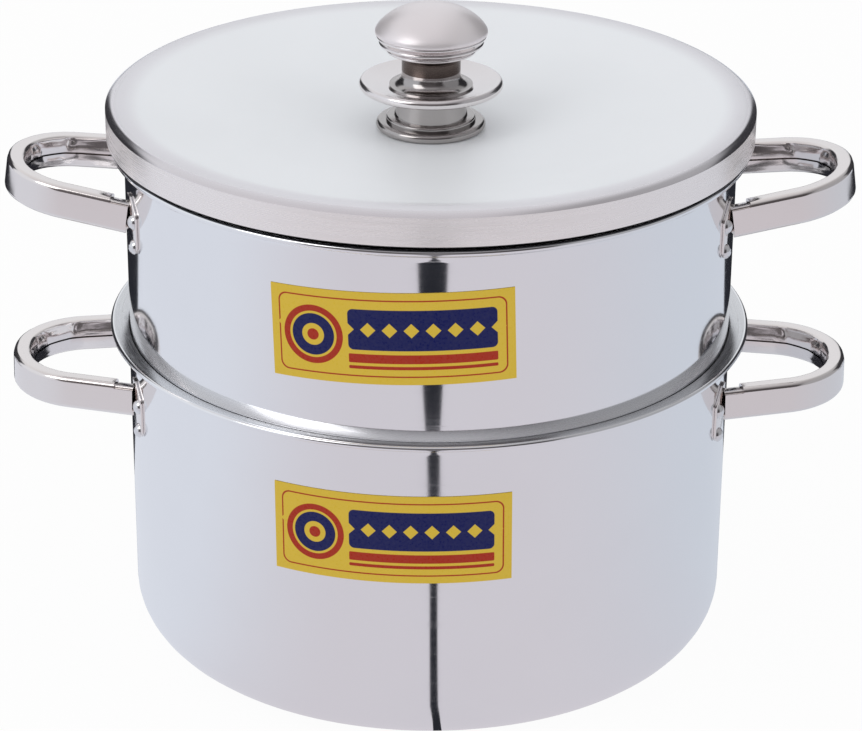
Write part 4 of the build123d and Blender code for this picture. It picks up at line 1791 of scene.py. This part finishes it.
@dataclass(frozen=True)
class FloorMirror:
    """What the floor shows to polished metal, by the place round the pot.

    Lengths are metres and directions radians. A span is where a soft change starts and ends.
    The strip is the dark line down the front of both walls: it runs from the pot towards the
    camera and widens, with a tip, a gap and a slanted end. The dark zones behind and beside
    the pot, open in the middle, show on the lid's rim and the walls' outer edges.
    """

    strip_start: float = 0.13
    strip_shift_span: Span = (0.03, 0.2)
    strip_shift: Span = (0.0047, 0.0102)
    strip_foot: Span = (0.0, 0.115)
    strip_foot_width: Span = (0.0018, 0.0045)
    strip_growth: tuple[tuple[Span, float], ...] = (((0.115, 0.3), 0.0125), ((0.3, 0.5), 0.048))
    strip_least_width: float = 0.0001
    strip_edge: Span = (0.92, 1.06)
    tip: Span = (0.262, 0.279)
    tip_gap_end: Span = (0.296, 0.298)
    end_distance: float = 0.53
    end_slant_span: Span = (-0.065, 0.035)
    end_slant: Span = (-0.0133, 0.0)
    end_corner: float = -0.012
    end_corner_power: float = 6.0
    end_edge: Span = (-0.001, 0.001)
    under_pot: Span = (-0.1, -0.09)
    middle_turns: Span = (0.32, 0.4)
    middle_radii: Span = (0.5, 0.56)
    behind_turns: Edges = (-0.885, -0.86, 0.78, 0.8)
    beside_turns: Edges = (-1.3, -1.2, 1.1, 1.2)
    beside_radii: Edges = (0.62, 0.66, 0.85, 0.95)
    left_turns: Span = (-1.4, -0.35)
    right_turns: Span = (0.35, 1.9)
    far_distances: Span = (0.85, 1.2)
    far_turns: Span = (0.7, 0.8)
    pale: Colour = (0.655, 0.63, 0.675)
    pale_left: Colour = (0.72, 0.75, 0.82)
    pale_right: Colour = (0.62, 0.66, 0.73)
    far_dark: Colour = (0.12, 0.11, 0.115)
    dark: Colour = (0.021, 0.022, 0.028)

    def strip(self, graph: Graph, x: object, front: object) -> Socket:
        """Returns the mask of the strip, from the place to the right and to the front."""
        distance = graph.math("SUBTRACT", front, self.strip_start)
        middle = graph.remap(distance, self.strip_shift_span, self.strip_shift, "LINEAR")
        across = graph.math("SUBTRACT", x, middle)
        width = graph.remap(distance, self.strip_foot, self.strip_foot_width, "LINEAR")
        for span, growth in self.strip_growth:
            width = graph.math("ADD", width, graph.remap(distance, span, (0.0, growth), "LINEAR"))
        tip = graph.fall(distance, self.tip, "LINEAR")
        tip = graph.either(tip, graph.rise(distance, self.tip_gap_end))
        width = graph.math("MULTIPLY", width, tip)
        width = graph.math("MAXIMUM", width, self.strip_least_width)
        share = graph.math("DIVIDE", graph.math("ABSOLUTE", across), width)
        slant = graph.remap(across, self.end_slant_span, self.end_slant, "LINEAR")
        power = graph.math("POWER", share, self.end_corner_power)
        limit = graph.math("MULTIPLY_ADD", power, self.end_corner, slant)
        ahead = graph.math("SUBTRACT", graph.math("ADD", limit, self.end_distance), distance)
        mask = graph.both(graph.fall(share, self.strip_edge), graph.rise(ahead, self.end_edge))
        return graph.both(mask, graph.rise(distance, self.under_pot))

    def zones(self, graph: Graph, x: object, y: object) -> Socket:
        """Returns the mask of the dark zones behind and beside the pot."""
        azimuth = graph.math("ARCTAN2", x, y)
        radius = graph.length(x, y)
        middle = graph.fall(graph.math("ABSOLUTE", azimuth), self.middle_turns)
        opening = graph.both(middle, graph.rise(radius, self.middle_radii))
        behind = graph.window(azimuth, self.behind_turns)
        beside = graph.window(azimuth, self.beside_turns)
        beside = graph.both(beside, graph.window(radius, self.beside_radii))
        closed = graph.math("SUBTRACT", 1.0, opening)
        return graph.both(graph.either(behind, beside), closed)

    def colour(self, graph: Graph, where: object) -> Socket:
        """Returns the floor's mirrored colour at a place."""
        x, y, _ = graph.split(where)
        front = graph.math("MULTIPLY", y, -1.0)
        dark = graph.either(self.strip(graph, x, front), self.zones(graph, x, y))
        sweep = graph.math("ARCTAN2", x, front)
        pale = graph.mix(graph.fall(sweep, self.left_turns), self.pale, self.pale_left)
        pale = graph.mix(graph.rise(sweep, self.right_turns), pale, self.pale_right)
        ahead = graph.fall(graph.math("ABSOLUTE", sweep), self.far_turns)
        far = graph.both(graph.rise(front, self.far_distances), ahead)
        return graph.mix(dark, graph.mix(far, pale, self.far_dark), self.dark)


@dataclass(frozen=True)
class SkyMirror:
    """What the studio above shows to polished metal, by direction.

    The arch's stops run from the horizon in front, at 0, over the top to the one behind, at 1.
    Other spans are parts of the direction's unit vector, or radians for the dark strip's turn.
    """

    arch: tuple[tuple[float, Colour], ...] = (
        (0.0, (0.11, 0.10, 0.105)),
        (0.19, (0.13, 0.12, 0.125)),
        (0.27, (0.40, 0.39, 0.41)),
        (0.36, (0.6, 0.59, 0.61)),
        (0.5, (0.69, 0.68, 0.70)),
        (0.72, (0.78, 0.79, 0.81)),
        (0.86, (0.82, 0.84, 0.87)),
        (1.0, (0.76, 0.78, 0.81)),
    )
    left_span: Span = (-0.76, -0.62)
    left: Colour = (0.79, 0.82, 0.87)
    right_span: Span = (0.62, 0.76)
    right: Colour = (0.66, 0.67, 0.70)
    dim_span: Span = (0.12, 0.5)
    dim: float = 0.42
    strip_turns: Edges = (0.3, 0.38, 1.0, 1.1)
    strip_heights: Span = (0.46, 0.56)
    strip: Colour = (0.04, 0.04, 0.045)

    def colour(self, graph: Graph, where: object) -> Socket:
        """Returns the studio's mirrored colour in a direction."""
        x, y, z = graph.split(where)
        over = graph.math("ARCTAN2", z, graph.math("MULTIPLY", y, -1.0))
        ramp = graph.add("ShaderNodeValToRGB", {0: graph.math("DIVIDE", over, math.pi)})
        stops = ramp.color_ramp.elements
        for place, colour in self.arch[1:-1]:
            stops.new(place).color = (*colour, 1.0)
        for stop, (place, colour) in zip((stops[0], stops[-1]), (self.arch[0], self.arch[-1])):
            stop.position = place
            stop.color = (*colour, 1.0)
        colour = graph.mix(graph.fall(x, self.left_span), ramp.outputs[0], self.left)
        colour = graph.mix(graph.rise(x, self.right_span), colour, self.right)
        dim = graph.remap(x, self.dim_span, (0.0, self.dim))
        colour = graph.mix(dim, colour, (0.0, 0.0, 0.0))
        strip = graph.window(graph.math("ABSOLUTE", graph.math("ARCTAN2", x, y)), self.strip_turns)
        strip = graph.both(strip, graph.fall(z, self.strip_heights))
        return graph.mix(strip, colour, self.strip)


@dataclass(frozen=True)
class Softbox:
    """A soft square lamp: degrees right of the front and above the floor, and watts.

    Metal shows its mirror image only where it is mirrored.
    """

    name: str
    azimuth: float
    elevation: float
    power: float
    mirrored: bool


@dataclass
class Studio:
    """White floor and soft light, with the darker shapes that polished metal mirrors."""

    floor_size: float = 12000.0
    floor_drop: float = 0.2
    floor_colour: Colour = (0.9, 0.9, 0.9)
    floor_whiteness: float = 0.95
    soft_light: Colour = (0.72, 0.72, 0.72)
    lamp_size: float = 900.0
    lamp_distance: float = 1700.0
    lamp_aim: float = 150.0
    lamps: tuple[Softbox, ...] = (
        Softbox("left_softbox", azimuth=-55.0, elevation=42.0, power=4.3, mirrored=True),
        Softbox("right_softbox", azimuth=62.0, elevation=38.0, power=2.1, mirrored=False),
    )

    def floor(self) -> None:
        """Lays the floor: white to the camera, mirrored as painted, with a soft shadow."""
        deselect_all()
        bpy.ops.mesh.primitive_plane_add(
            size=self.floor_size * MM, location=(0.0, 0.0, -self.floor_drop * MM)
        )
        floor = bpy.context.active_object
        floor.name = "studio_floor"
        settle(floor)
        material = bpy.data.materials.new("studio_floor")
        material.use_nodes = True
        material.node_tree.nodes.clear()
        graph = Graph(material.node_tree)
        path = graph.add("ShaderNodeLightPath").outputs
        where = graph.add("ShaderNodeTexCoord").outputs["Object"]
        cloth = graph.add("ShaderNodeBsdfDiffuse", {"Color": (*self.floor_colour, 1.0)}).outputs[0]
        white = graph.add("ShaderNodeEmission", {"Strength": 1.0}).outputs[0]
        painted = {"Color": FloorMirror().colour(graph, where), "Strength": 1.0}
        mirrored = graph.add("ShaderNodeEmission", painted).outputs[0]
        sharp = graph.either(path["Is Glossy Ray"], path["Is Transmission Ray"])
        seen = graph.blend(self.floor_whiteness, cloth, white)
        plain = graph.blend(path["Is Camera Ray"], cloth, seen)
        shown = graph.blend(sharp, plain, mirrored)
        graph.add("ShaderNodeOutputMaterial", {"Surface": shown})
        floor.data.materials.append(material)

    def sky(self) -> None:
        """Wraps the studio round the object: white to the camera, soft light elsewhere."""
        world = bpy.data.worlds.new("studio")
        world.use_nodes = True
        bpy.context.scene.world = world
        world.node_tree.nodes.clear()
        graph = Graph(world.node_tree)
        path = graph.add("ShaderNodeLightPath").outputs
        where = graph.add("ShaderNodeTexCoord").outputs["Generated"]
        sharp = graph.either(path["Is Glossy Ray"], path["Is Transmission Ray"])
        colour = graph.mix(sharp, self.soft_light, SkyMirror().colour(graph, where))
        colour = graph.mix(path["Is Camera Ray"], colour, (1.0, 1.0, 1.0))
        glow = graph.add("ShaderNodeBackground", {"Color": colour, "Strength": 1.0}).outputs[0]
        graph.add("ShaderNodeOutputWorld", {"Surface": glow})

    def hang(self, box: Softbox) -> None:
        """Hangs a soft lamp that looks at the pot."""
        turn = math.radians(box.azimuth)
        rise = math.radians(box.elevation)
        back = Vector(
            (math.sin(turn) * math.cos(rise), -math.cos(turn) * math.cos(rise), math.sin(rise))
        )
        data = bpy.data.lights.new(box.name, "AREA")
        data.shape = "SQUARE"
        data.size = self.lamp_size * MM
        data.energy = box.power
        lamp = bpy.data.objects.new(box.name, data)
        lamp.visible_glossy = box.mirrored
        bpy.context.scene.collection.objects.link(lamp)
        lamp.location = (back * self.lamp_distance + Vector((0.0, 0.0, self.lamp_aim))) * MM
        lamp.rotation_euler = back.to_track_quat("Z", "Y").to_euler()

    def build(self) -> None:
        """Sets up floor, surroundings and lamps."""
        self.floor()
        self.sky()
        for box in self.lamps:
            self.hang(box)
        bpy.context.scene.view_settings.view_transform = "Standard"


@dataclass
class PhotoCamera:
    """Camera at the photograph's viewpoint. Angles are degrees and lengths millimetres."""

    back: float = 1212.624
    height: float = 663.177
    pitch: float = 24.2773
    yaw: float = -0.0419
    roll: float = 0.4433
    lens: float = 126.87
    sensor: float = 36.0

    def build(self) -> Piece:
        """Makes the camera and sets it as the scene's own."""
        data = bpy.data.cameras.new("photo_camera")
        data.lens = self.lens
        data.sensor_width = self.sensor
        camera = bpy.data.objects.new("photo_camera", data)
        bpy.context.scene.collection.objects.link(camera)
        turn = (
            Matrix.Rotation(math.radians(self.yaw), 4, "Z")
            @ Matrix.Rotation(math.radians(90.0 - self.pitch), 4, "X")
            @ Matrix.Rotation(math.radians(self.roll), 4, "Z")
        )
        place = Matrix.Translation(Vector((0.0, -self.back, self.height)) * MM)
        camera.matrix_world = place @ turn
        bpy.context.scene.camera = camera
        return camera


def dress_kept_nodes(nodes: dict[str, Piece], workshop: Workshop) -> None:
    """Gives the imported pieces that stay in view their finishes."""
    finishes = {
        "steamer_base": SATIN_INSIDE,
        "knob_screw": FASTENER_STEEL,
        "screw_washer": FASTENER_STEEL,
    }
    for name, finish in finishes.items():
        kept = nodes[name]
        kept.data.materials.clear()
        kept.data.materials.append(workshop.metal(finish))
        LOG.info("%s keeps its packed shape", name)


def main() -> None:
    """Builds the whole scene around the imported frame."""
    logging.basicConfig(level=logging.INFO, format="%(message)s")
    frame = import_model()
    PhotoCamera().build()
    workshop = Workshop()
    pot, steamer = LowerPot(), SteamerPot()
    upper = (Level.UPPER, "steamer", steamer.wall_radius, steamer.wall)
    lower = (Level.LOWER, "pot", pot.wall_radius, pot.wall)
    handles = (
        HandleSet(*upper, height=200.933, tilt=8.2),
        HandleSet(*lower, height=116.7, tilt=1.5),
    )
    labels = (
        Label("upper_label", "steamer", steamer.wall_radius, centre_height=185.333, turn=2.0),
        Label("lower_label", "pot", pot.wall_radius, centre_height=97.7, turn=0.6),
    )
    for part in (pot, steamer, Lid(), Knob(), *handles, *labels):
        part.build(workshop)
    dress_kept_nodes(frame["nodes"], workshop)
    Studio().build()


if __name__ == "__main__":
    main()
